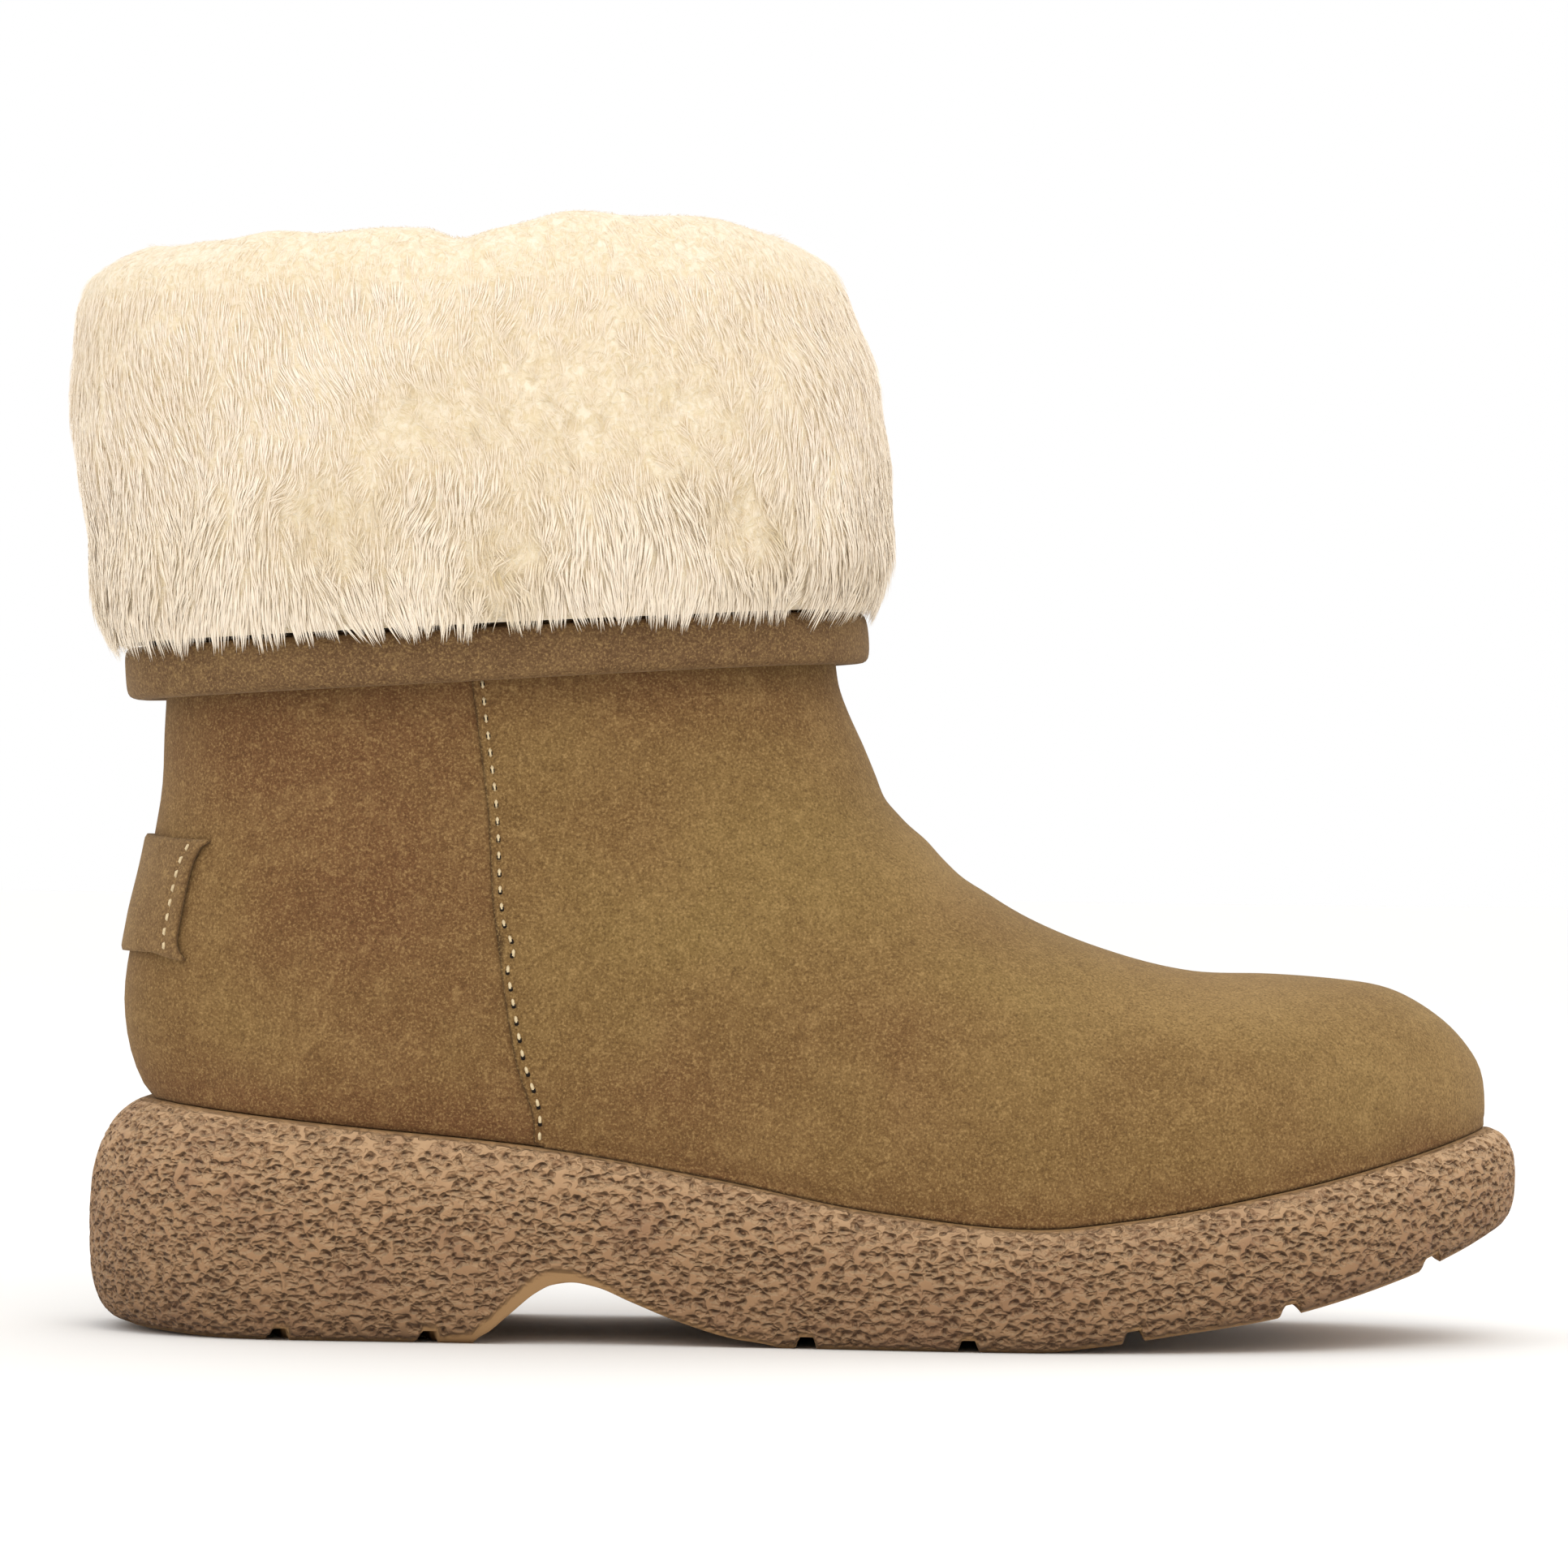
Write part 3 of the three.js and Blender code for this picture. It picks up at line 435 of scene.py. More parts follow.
def crepeRubber(name, look):  # moulded rubber with crumpled ridges: tan tops, brown pits darkened with painted shade
    material, tree, place, (blotch, fine, mask) = newMaterial(name, [
        (look["blotch"], 3.0, 0.6, 0.0), (look["fine"], 2.0, 0.5, 0.0)], ("pebble",))
    cells = crumple(tree, place, look["grain"])
    height = addNode(tree, "ShaderNodeMapRange", {
        "Value": cells, "From Min": 0.12, "From Max": 0.7}).outputs["Result"]
    height = addNode(tree, "ShaderNodeMath", {0: height, 1: mask}, operation="MULTIPLY").outputs[0]
    bumped = addNode(tree, "ShaderNodeBump", {
        "Height": height, "Strength": 1.0, "Distance": look["slopeBump"] * mm}).outputs["Normal"]
    tilt, up = (addNode(tree, "ShaderNodeSeparateXYZ", {0: way}).outputs["Z"] for way in (bumped, place))
    # painted shade: the near-black pit colour darkens the centre of each pit
    color = layOver(tree, linear(look["pit"]), [
        (cells, 0.06, 0.26, 1.0, look["middle"]), (cells, 0.26, 0.5, 1.0, look["ridge"]),
        (tilt, 0.1, 0.85, 0.6, look["upLit"]),  # painted light: slopes that look up are painted paler, slopes that look down darker
        (tilt, -0.05, -0.8, 0.65, look["pit"]), (blotch, 0.48, 0.72, 0.35, look["rose"]),
        (up, look["lightest"] * mm, look["darkest"] * mm, 0.3, look["low"]),
    ])
    color = addNode(tree, "ShaderNodeMix", {
        0: mask, 6: linear(look["plain"]), 7: color}, data_type="RGBA").outputs[2]
    finishMaterial(tree, color, [(height, 1.0, look["bump"]), (fine, 0.3, 0.06)], Roughness=0.75,
                   Specular_IOR_Level=0.3)
    return material


woolLook = {
    "tip": "#fbf1e2", "body": "#f8ebda", "root": "#efdfc4", "warm": "#d0bc92", "hollow": "#dfcdaa", "curl": "#efe2cb",
    "curlSize": 1.9,
}


def woolStrand(name, look):  # combed sheep's wool: pale matte strands, yellower at the root
    material, tree, _, (along, shade, mottle) = newMaterial(name, stored=("along", "shade", "mottle"))
    color = layOver(tree, linear(look["root"]), [
        (along, 0.0, 0.5, 1.0, look["body"]), (along, 0.5, 1.0, 1.0, look["tip"]),
        (shade, 0.5, 1.0, 0.15, look["warm"]), (mottle, 0.0, 1.0, 1.0, look["warm"]),
    ])
    finishMaterial(tree, color, [], Roughness=0.9, Specular_IOR_Level=0.1)
    return material


def woolPile(name, look):  # short dense wool seen from above: crumbly curls with shaded gaps
    material, tree, _, (curl,) = newMaterial(name, [(look["curlSize"], 3.0, 0.65, 1.4)])
    color = layOver(tree, linear(look["hollow"]), [(curl, 0.35, 0.62, 1.0, look["curl"])])
    finishMaterial(tree, color, [(curl, 0.7, 0.8)], Roughness=0.95, Sheen_Weight=0.3, Specular_IOR_Level=0.15)
    return material


def plainThread(name, hexColor, worn, roughness):  # waxed twine: plain, a little dirty in places
    material, tree, _, (dirt,) = newMaterial(name, [(0.6, 1.0, 0.5, 0.0)])
    color = layOver(tree, linear(hexColor), [(dirt, 0.35, 0.65, 0.3, worn)])
    finishMaterial(tree, color, [], Roughness=roughness, Specular_IOR_Level=0.3)
    return material


upperSuede = brushedSuede("tanSuede", suedeLook)
bindingSuede = brushedSuede("bindingSuede", {**suedeLook, "olive": "#705539", "brown": "#5f4630", "blotch": 24})
tabSuede = brushedSuede("tabSuede", {**suedeLook, "olive": "#7c6140", "brown": "#6e5235", "blotch": 18})
soleRubber = crepeRubber("crepeLookRubber", crepeLook)
combedWool = woolStrand("combedWool", woolLook)
shortWool = woolPile("shortWool", woolLook)
threadCream = plainThread("waxedThread", "#dcc8a0", "#8d6f4a", 0.7)
# painted shade: a near-black body sunk at each needle hole stands in for the shade inside the hole
holeDark = plainThread("needleHole", "#150c06", "#0d0703", 1.0)


# Upper
upperLook = {
    "rows": 150, "columns": 100, "panelRows": 180, "panelColumns": 96, "panelThick": 0.8, "merge": 0.02,
    "edgeRoll": 0.3, "rollWide": 0.35, "pucker": 0.28, "puckerAt": 1.8, "puckerWide": 0.7, "darkEdge": 0.9,
    "darkWide": 0.42, "beyondEdge": 9.0,
}
seamRows = [
    (0.3, -0.2), (0.306, 0.205), (0.293, 0.265), (0.285, 0.319), (0.279, 0.376), (0.274, 0.423),
    (0.27, 0.502), (0.264, 0.565), (0.257, 0.64), (0.25, 1.2),
]  # side seam, seen from the side: share of the length, share of the fold's height
seamCurve = columnCurve(seamRows, 1, 0, foldHeight, last["length"])

# Main creases: side (-1 outer, 1 inner, 0 both), two ends in x and z, width, depth (plus is a ridge)
creaseRows = [
    (0, 150, 106, 118, 92, 7, -1.0), (0, 158, 97, 128, 80, 8, 0.8), (0, 166, 90, 136, 70, 8, -0.7),
    (0, 60, 108, 22, 100, 9, -0.8), (0, 70, 92, 20, 84, 10, 0.6), (0, 100, 60, 140, 48, 12, -0.7),
    (-1, 180, 70, 205, 48, 12, -0.7), (1, 172, 72, 200, 50, 12, -0.8), (0, 214, 66, 226, 46, 12, 0.6),
    (0, 130, 128, 96, 118, 9, 0.6), (0, 38, 66, 66, 58, 10, -0.6),
]
creaseLook = {"slack": 0.35, "slackSize": 55, "ripple": 0.18, "rippleSize": 24, "waver": 0.12,
              "waverLength": 9, "ends": 10, "fade": 14, "toeRows": 3}


def creaseDepth(p):  # soft troughs and ridges placed one by one, plus a little slackness of the skin
    depth = creaseLook["slack"] * softNoise(p, creaseLook["slackSize"], 1)
    depth = depth + creaseLook["ripple"] * softNoise(p, creaseLook["rippleSize"], 2)
    for side, x1, z1, x2, z2, width, tall in creaseRows:
        run = np.array([x2 - x1, z2 - z1], float)
        length = np.linalg.norm(run)
        run /= length
        offset = p[..., [0, 2]] - np.array([x1, z1])
        along = offset @ run
        across = offset[..., 0] * run[1] - offset[..., 1] * run[0]
        across = across + creaseLook["waver"] * width * np.sin(along / creaseLook["waverLength"])
        ends = smooth(along / creaseLook["ends"] + 0.5) * smooth((length - along) / creaseLook["ends"] + 0.5)
        bump = tall * hump(across, 0.5 * width) * ends
        if side:
            bump = bump * smooth(side * p[..., 1] / 12 + 0.3)
        depth = depth + bump
    return depth


# Tones of the suede as they lie on the boot: middle x and z, reach in x and z, olive (minus is brown), pale. The
# brown spots just under the cuff and low on the front panel are painted shade; the pale spots on the instep ridge and
# toe top are partly wear and partly painted highlight
toneRows = [
    (40, 118, 30, 20, -0.9, 0), (18, 85, 9, 24, 0.5, 0.1), (50, 83, 16, 14, -0.5, 0), (29, 60, 15, 9, 0.5, 0.2),
    (108, 127, 42, 7, -0.8, 0), (129, 92, 20, 15, 0.9, 0.1), (112, 79, 22, 10, 0.7, 0), (108, 47, 36, 9, -0.8, 0),
    (179, 72, 26, 8, 0.8, 0.2), (158, 91, 14, 9, 0.3, 0.5), (215, 66, 30, 7, 0.5, 0.8), (247, 52, 14, 12, 0.4, 0.4),
    (263, 50, 7, 14, 0, 0.7), (172, 50, 16, 8, 0.1, 0.25), (225, 50, 22, 6, 0, 0.2), (150, 62, 20, 12, -0.3, 0),
]
panelOlive = {"back": -0.45, "front": 0.2}
lowShadeLook = {"brown": 1.1, "height": 5}  # painted shade: browner just above the sole, where the wall turns under


def setTones(piece, ground):
    points = np.empty(3 * len(piece.data.vertices))
    piece.data.vertices.foreach_get("co", points)
    p = points.reshape(-1, 3) / mm - shift
    olive, worn = np.full(len(p), ground), np.zeros(len(p))
    # real tones, with painted shade under the cuff and near the sole and a painted highlight on the toe top
    for x, z, reachX, reachZ, green, pale in toneRows:
        spot = np.exp(-(((p[:, 0] - x) / reachX) ** 2) - ((p[:, 2] - z) / reachZ) ** 2)
        olive, worn = olive + green * spot, worn + pale * spot
    # painted shade: browner and less pale just above the sole
    low = np.exp(-np.maximum(p[:, 2] - bedAt(p[:, 0]), 0) / lowShadeLook["height"])
    setFloats(piece, "olive", olive - lowShadeLook["brown"] * low)
    setFloats(piece, "worn", worn * (1 - low))
    return piece


def skin(s, angle, out):  # the suede's surface, with its creases, "out" from the last
    base = formPoint(s, angle)
    quiet = smooth((base[..., 2] - bedAt(base[..., 0])) / creaseLook["fade"])  # creases fade towards the sole
    near = smooth(s / creaseLook["toeRows"])[..., None]  # and towards the tip of the toe
    moved = (np.asarray(out) + creaseDepth(base) * quiet)[..., None] * near + np.asarray(out)[..., None] * (1 - near)
    return base + formNormal(s, angle) * moved


def evenRows(count, start=0.0, end=None):  # places along the last that lie evenly over its surface
    end = lastRow if end is None else end
    fine = np.linspace(start, end, 900)
    sides = (0.0, 1.57, -1.57, 3.14)  # top, inner, outer and under
    travelled = runningSum(sum(np.linalg.norm(np.diff(formPoint(fine, a), axis=0), axis=-1) for a in sides))
    return np.interp(np.linspace(0, travelled[-1], count), travelled, fine)


def featherAngle(s, hand, lift):  # where a section meets the bed, as an angle from its top
    top = np.full(s.shape, math.pi / 2)
    return halve(top, np.full(s.shape, math.pi), lambda a: heightOverBed(s, hand * a) > lift)


def heightOverBed(s, angle):
    p = formPoint(s, angle)
    return p[..., 2] - bedAt(p[..., 0])


def seamAngle(s, hand):  # where a section meets the side seam

    def ahead(angle):
        p = formPoint(s, hand * angle)
        return p[..., 0] > seamCurve(p[..., 2])

    return halve(np.zeros(s.shape), np.full(s.shape, math.pi), ahead)


def seamSpeed(s, hand, limit):  # millimetres round the section for each radian, at the seam
    return np.linalg.norm(formPoint(s, hand * limit) - formPoint(s, hand * (limit - nudge)), axis=-1) / nudge


def archAngles(s, columns, lift):  # angles from the bed's outer side over the top to its inner side, a row a section
    inner, outer = featherAngle(s, 1, lift)[:, None], featherAngle(s, -1, lift)[:, None]
    u = np.linspace(-1, 1, columns)[None]
    return np.where(u > 0, u * inner, u * outer)


def suedeSheet(name, s, angle, out, thickness, ground, **floats):  # a sheet of suede laid over the last
    points = skin(s[:, None] + 0 * angle, angle, out)
    points[0] = points[0].mean(axis=0)
    sheet = makePiece(name, points, gridFaces(*angle.shape), upperSuede, upperLook["merge"], **floats)
    return setTones(thicken(sheet, thickness), ground)


def makeUpperWall():  # the whole suede wall, under the front panel too
    s = evenRows(upperLook["rows"])
    angle = archAngles(s, upperLook["columns"], last["gap"])
    return suedeSheet("suedeUpper", s, angle, np.zeros(angle.shape), last["wall"], panelOlive["back"])


edgeSteps = np.array([0, 0.2, 0.45, 0.8, 1.2, 1.6, 2.0, 2.5, 3.1, 4.0])  # millimetres in from the seam's cut edge


def seamGrid(s, hand):  # angles from the top of a section to the panel's edge, close together near the edge
    limit = np.minimum(featherAngle(s, hand, last["gap"]), seamAngle(s, hand))
    close = limit[:, None] - edgeSteps[None, :] / np.maximum(seamSpeed(s, hand, limit), 1)[:, None]
    close = np.maximum(close, 0.3 * limit[:, None])
    rest = np.linspace(0, 1, upperLook["panelColumns"] // 2)[None, :-1] * close[:, -1:]
    return np.concatenate([rest, close[:, ::-1]], axis=1)


def makeFrontPanel():  # vamp and front of the shaft in one piece, laid over the back panel
    look = upperLook
    s = evenRows(look["panelRows"])
    angle = np.concatenate([-seamGrid(s, -1)[:, :0:-1], seamGrid(s, 1)], axis=1)
    fromEdge = np.concatenate([np.full(look["panelColumns"] // 2 - 1, look["beyondEdge"]), edgeSteps[::-1]])
    fromEdge = np.concatenate([fromEdge[:0:-1], fromEdge])[None, :]
    roll = look["edgeRoll"] * hump(fromEdge, look["rollWide"])
    pucker = look["pucker"] * hump(fromEdge - look["puckerAt"], look["puckerWide"])
    out = last["seamStep"] - roll - pucker + 0 * angle
    # painted shadow along the panel's edge, on top of the raw cut edge's own darker colour
    cutEdge = look["darkEdge"] * hump(fromEdge, look["darkWide"]) + 0 * angle
    return suedeSheet("frontPanel", s, angle, out, look["panelThick"], panelOlive["front"], cutEdge=cutEdge)


upperWall = makeUpperWall()
frontPanel = makeFrontPanel()
print("upper:", len(upperWall.data.polygons), "faces, front panel:", len(frontPanel.data.polygons))

# Sole
soleLook = {
    "toeSpring": 22, "heelBevel": 1.6, "arch": 12.2, "heelBulge": 11.2, "toeBulge": 6.6, "sideBulge": 6.2,
    "lip": 0.6, "grooveWidth": 3.4, "grooveDepth": 2.4, "heelTurn": 14, "stations": 640, "rows": 60, "across": 16,
    "grain": 1.85, "relief": 0.55, "breastAt": 80, "breastWide": 13, "wallHeight": 36, "wallSwell": 8,
    "noArch": -9.0,
}
treadRows = [
    (-0.03, 1, 0), (0.03, 0.45, 0), (0.09, 0, 0), (0.665, 0, 0), (0.705, 0, 0.045), (0.76, 0, 0.145),
    (0.84, 0, 0.3), (0.936, 0, 0.62), (0.977, 0, 0.82), (1.012, 0, 1),
]  # share of the length, share of the heel's bevel, share of the toe spring
wallRows = [
    (0, 0.26), (0.035, 0.62), (0.12, 0.86), (0.27, 0.98), (0.45, 1), (0.62, 0.96), (0.78, 0.8), (0.9, 0.53),
    (0.97, 0.22), (1, 0),
]  # side wall: share of its height, share of its swelling
archRows = [
    (0.2625, -0.3), (0.2645, 0.02), (0.276, 0.21), (0.291, 0.5), (0.309, 0.83), (0.321, 0.96), (0.3345, 1),
    (0.352, 0.93), (0.377, 0.7), (0.411, 0.4), (0.449, 0.15), (0.478, 0.04), (0.502, -0.3),
]
swellRows = [(0, 1.15), (0.22, 1.12), (0.42, 0.74), (0.66, 0.98), (1, 1)]
heelGrooves = [0.085, 0.19]
foreGrooves = [0.5025, 0.618, 0.7355, 0.849, 0.955]
bevelShare, springShare = columnCurve(treadRows, 0, 1), columnCurve(treadRows, 0, 2)
archCurve, swell = columnCurve(archRows, 0, 1), columnCurve(swellRows, 0, 1)


def treadAt(x):
    u = x / last["length"]
    return bevelShare(u) * soleLook["heelBevel"] + springShare(u) * soleLook["toeSpring"]


def cutAt(x, y):  # the underside with its arch and grooves
    u = x / last["length"]
    inArch = (u > archRows[0][0]) & (u < archRows[-1][0])
    arch = np.where(inArch, archCurve(u) * soleLook["arch"], soleLook["noArch"])
    height = np.maximum(treadAt(x), arch)
    wide, deep = soleLook["grooveWidth"], soleLook["grooveDepth"]
    turn = math.radians(soleLook["heelTurn"])
    lines = [(at, 0.0) for at in foreGrooves] + [(at, turn) for at in heelGrooves]
    for at, tilt in lines:
        across = (x - at * last["length"]) * math.cos(tilt) + y * math.sin(tilt)
        depth = deep * np.clip((0.6 * wide - np.abs(across)) / (0.2 * wide), 0, 1)
        height = np.maximum(height, treadAt(x) + depth)
    return height


def roundOff(loop, reach):  # averages each point of a closed loop with its neighbours
    return sum(np.roll(loop, k, axis=0) for k in range(-reach, reach + 1)) / (2 * reach + 1)


def featherLine(count):  # where the upper meets the bed, evenly spaced, from the toe round the inner side
    toeEnd = halve(0.0, 5.0, lambda s: heightOverBed(s, math.pi) > 0)
    heelEnd = halve(len(footRows) - 1.0, len(footRows) + 1.0, lambda s: heightOverBed(s, math.pi) < 0)
    t = 0.5 - 0.5 * np.cos(np.linspace(0, math.pi, 700))
    s = mix(float(toeEnd), float(heelEnd), t)
    medial, lateral = (formPoint(s, hand * featherAngle(s, hand, 0.0)) for hand in (1, -1))
    loop = np.concatenate([medial, lateral[-2::-1]])[:, :2]
    travelled = runningSum(np.linalg.norm(np.diff(loop, axis=0), axis=1))
    places = np.linspace(0, travelled[-1], count, endpoint=False)
    line = np.stack([np.interp(places, travelled, loop[:, k]) for k in (0, 1)], axis=-1)
    return roundOff(line, 5)


def awayFrom(line, reach):  # unit directions square to a closed line, pointing out of it
    run = roundOff(np.roll(line, -1, axis=0) - np.roll(line, 1, axis=0), reach)
    return unit(np.stack([run[:, 1], -run[:, 0]], axis=-1))


def raised(plan, z):
    return np.concatenate([plan, z[..., None]], axis=-1)


def rungs(ring, columns):  # points in plan across a closed ring, from its outer side to its inner side
    count, half = len(ring), len(ring) // 2
    medial, lateral = ring[:half + 1, :2], ring[np.arange(count, half - 1, -1) % count, :2]
    share = np.linspace(0, 1, columns)[None, :, None]
    return mix(lateral[:, None], medial[:, None], share)


def closedSlab(wall, under, over):  # points and faces of a wall closed below and above
    points = np.concatenate([part.reshape(-1, 3) for part in (wall, under, over)])
    wallCount, underCount = wall[..., 0].size, under[..., 0].size
    faces = np.concatenate([
        gridFaces(*wall.shape[:2], closeColumns=True),
        gridFaces(*under.shape[:2])[:, ::-1] + wallCount,
        gridFaces(*over.shape[:2]) + wallCount + underCount,
    ])
    return points, faces


def makeSole():
    look = soleLook
    line = featherLine(2 * look["stations"])
    normal = awayFrom(line, 6)
    side = look["sideBulge"] * swell(line[:, 0] / last["length"])
    bulge = mix(side, np.where(normal[:, 0] < 0, look["heelBulge"], look["toeBulge"]), normal[:, 0] ** 2)
    t = np.linspace(0, len(wallRows) - 1, 400)
    up, out = (curveThrough(np.arange(len(wallRows)), [r[k] for r in wallRows])(t) for k in (0, 1))
    travelled = runningSum(np.hypot(np.diff(up) * look["wallHeight"], np.diff(out) * look["wallSwell"]))
    places = np.linspace(0, travelled[-1], look["rows"])
    up, out = np.interp(places, travelled, up), np.interp(places, travelled, out)
    xy = line[None] + normal[None] * (look["lip"] + bulge[None, :] * out[:, None])[..., None]
    high = bedAt(xy[..., 0])
    z = mix(treadAt(xy[..., 0]), high, up[:, None])
    cut = cutAt(xy[..., 0], xy[..., 1])
    breast = hump(xy[..., 0] - look["breastAt"], look["breastWide"])  # the heel's front edge stays smoother
    pebble = smooth((z - cut - mix(0.2, 2.6, breast)) / mix(0.8, 1.6, breast)) * smooth((high - z) / 0.6 - 0.3)
    wall = raised(xy, np.maximum(z, cut))
    under, over = rungs(wall[0], look["across"]), rungs(wall[-1], 6)
    under, over = raised(under, cutAt(under[..., 0], under[..., 1])), raised(over, bedAt(over[..., 0]))
    mask = np.concatenate([pebble.ravel(), np.zeros(under[..., 0].size + over[..., 0].size)])
    return *closedSlab(wall, under, over), mask


def startTree(name, kinds):  # a Geometry Nodes tree with named inputs
    tree = bpy.data.node_groups.new(name, "GeometryNodeTree")
    face = tree.interface
    face.new_socket("Geometry", in_out="INPUT", socket_type="NodeSocketGeometry")
    names = {word: face.new_socket(word, in_out="INPUT", socket_type="NodeSocket" + kind).identifier
             for word, kind in kinds.items()}
    face.new_socket("Geometry", in_out="OUTPUT", socket_type="NodeSocketGeometry")
    return tree, names, addNode(tree, "NodeGroupInput").outputs


def endTree(tree, shape, material):
    real = addNode(tree, "GeometryNodeRealizeInstances", {"Geometry": shape}).outputs[0]
    done = addNode(tree, "GeometryNodeSetMaterial", {"Geometry": real, "Material": material}).outputs[0]
    addNode(tree, "NodeGroupOutput", {"Geometry": done})


def pebbleTree():  # pushes a surface in and out where its mask allows, by the same noise as the rubber's colour
    tree, names, given = startTree("pebbledSide", {"Relief": "Float", "Rubber": "Material"})
    place = addNode(tree, "GeometryNodeInputPosition").outputs[0]
    depth = addNode(tree, "ShaderNodeMapRange", {
        "Value": crumple(tree, place, soleLook["grain"]), "From Min": 0.15, "From Max": 0.6, "To Min": -1.0,
        "To Max": 0.2}).outputs["Result"]
    mask = addNode(tree, "GeometryNodeInputNamedAttribute", {"Name": "pebble"}, data_type="FLOAT").outputs[0]
    for factor in (mask, given["Relief"]):
        depth = addNode(tree, "ShaderNodeMath", {0: depth, 1: factor}, operation="MULTIPLY").outputs[0]
    normal = addNode(tree, "GeometryNodeInputNormal").outputs[0]
    push = addNode(tree, "ShaderNodeVectorMath", {0: normal, "Scale": depth}, operation="SCALE").outputs[0]
    moved = addNode(tree, "GeometryNodeSetPosition", {"Geometry": given["Geometry"], "Offset": push}).outputs[0]
    endTree(tree, moved, given["Rubber"])
    return tree, names


def useTree(piece, made, **values):  # runs a node tree on a piece and keeps the result as its mesh
    tree, names = made
    modifier = piece.modifiers.new(tree.name, "NODES")
    modifier.node_group = tree
    for name, value in values.items():
        modifier[names[name]] = value
    return settle(piece)


solePoints, soleFaces, soleMask = makeSole()
mouldedSole = makePiece("mouldedSole", solePoints, soleFaces, soleRubber, 0.004, pebble=soleMask)
useTree(mouldedSole, pebbleTree(), Relief=soleLook["relief"] * mm, Rubber=soleRubber)
print("sole:", len(mouldedSole.data.polygons), "faces")

# Cuff
cuffLook = {
    "height": 80, "tilt": 3.8, "thick": 16.4, "rim": 13.5, "mouthThick": 8, "mouthDepth": 34,
    "bindingHeight": 10.4, "bindingThick": 8.4, "bindingTurns": 260, "pile": 3.0, "turns": 220, "rows": 64,
    "aboveBinding": 3.5, "lumps": 0.8, "lumpSize": 26, "curls": 0.2, "curlSize": 12,
}
rimRows = [
    (-0.02, 0.86), (0.06, 0.95), (0.16, 0.97), (0.222, 1.0), (0.245, 0.86), (0.27, 1.02), (0.325, 1.2),
    (0.42, 1.18), (0.47, 0.98), (0.51, 0.8),
]
rimShare = columnCurve(rimRows, 0, 1)


def cuffPoint(angle, out, z):  # a point beside the shaft at a height, "out" from its surface
    angle, out, z = np.broadcast_arrays(*(np.asarray(v, float) for v in (angle, out, z)))

    def onShaft(a):
        s = halve(np.full(z.shape, float(ankleRow)), np.full(z.shape, float(lastRow)),
                  lambda middle: formPoint(middle, a)[..., 2] < z)
        return formPoint(s, a)

    point = onShaft(angle)
    run = onShaft(angle + nudge) - onShaft(angle - nudge)
    point = point + unit(np.stack([run[..., 1], -run[..., 0], 0 * z], axis=-1)) * out[..., None]
    point[..., 2] = z
    return point


def cuffEdge(angle):  # height of the binding's lower edge
    slope = math.tan(math.radians(cuffLook["tilt"]))
    level = foldHeight - cuffLook["height"]
    x = cuffPoint(angle, 0, level + slope * last["length"] / 4)[..., 0]
    return level + x * slope


# Section of the wool, from inside the mouth over the top and down the face:
# part (mouth or face), share of that part's thickness, share of its way, share of the rim's height,
# share of the thickness that the round corners at the front and back take off
woolRows = [
    ("mouth", 0.7, 0.97, 0, 0), ("mouth", 1.0, 0.7, 0, 0), ("mouth", 1.0, 0.2, 0, 0), ("mouth", 0.8, 0, 0.55, 0),
    ("mouth", 0.25, 0, 0.88, 0), ("face", 0.3, 1, 0.92, 0.6), ("face", 0.62, 1, 0.68, 0.5),
    ("face", 0.84, 1, 0.26, 0.32), ("face", 0.95, 0.86, 0, 0.2), ("face", 1.0, 0.7, 0, 0.08),
    ("face", 0.99, 0.5, 0, 0), ("face", 0.98, 0.3, 0, 0), ("face", 1.0, 0.12, 0, 0), ("face", 0.93, 0.0, 0, 0.06),
]


def makeWoolBody():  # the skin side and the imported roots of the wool, under the strands
    look = cuffLook
    angle = np.linspace(0, 2 * math.pi, look["turns"], endpoint=False)
    fold = formPoint(float(lastRow) + 0 * angle, angle)
    top, low = fold[:, 2], cuffEdge(angle) + look["bindingHeight"]
    rim = look["rim"] * rimShare(fold[:, 0] / last["length"])
    inside, gap = -last["wall"] - last["gap"], last["seamStep"] + last["gap"]
    pile, ends = look["pile"], np.abs(np.cos(angle)) ** 3
    loops = []
    for part, wide, way, high, corner in woolRows:
        if part == "mouth":
            out = inside - wide * (look["mouthThick"] - pile * 0.6)
            z = top + high * (rim - pile) - way * look["mouthDepth"]
        else:
            out = (wide - corner * ends) * (look["thick"] - pile)
            z = mix(low + look["aboveBinding"], top, way) + high * (rim - pile)
        loops.append(cuffPoint(angle, out, z))
    loops = np.array(loops)
    travelled = runningSum(np.linalg.norm(np.diff(loops, axis=0), axis=-1).mean(axis=1))
    places = np.linspace(0, travelled[-1], look["rows"])
    shown = throughRows(loops, np.interp(places, travelled, np.arange(len(loops))))
    hidden = [cuffPoint(angle, out, z) for out, z in [  # back up inside the binding, past the fold, down the mouth
        (look["bindingThick"] + 1.6, low + 0.6), (look["bindingThick"] - 0.6, low + 1.0), (gap + 0.6, low + 0.5),
        *[(gap + 0.4, mix(low + 1, top, t)) for t in (0.25, 0.5, 0.75, 0.97)],
        (gap, top + 0.5), (inside, top + 0.5),
        (inside - 0.4, top - look["mouthDepth"] * 0.5), (inside - 0.6, top - look["mouthDepth"]),
    ]]
    return shown, np.array(hidden)


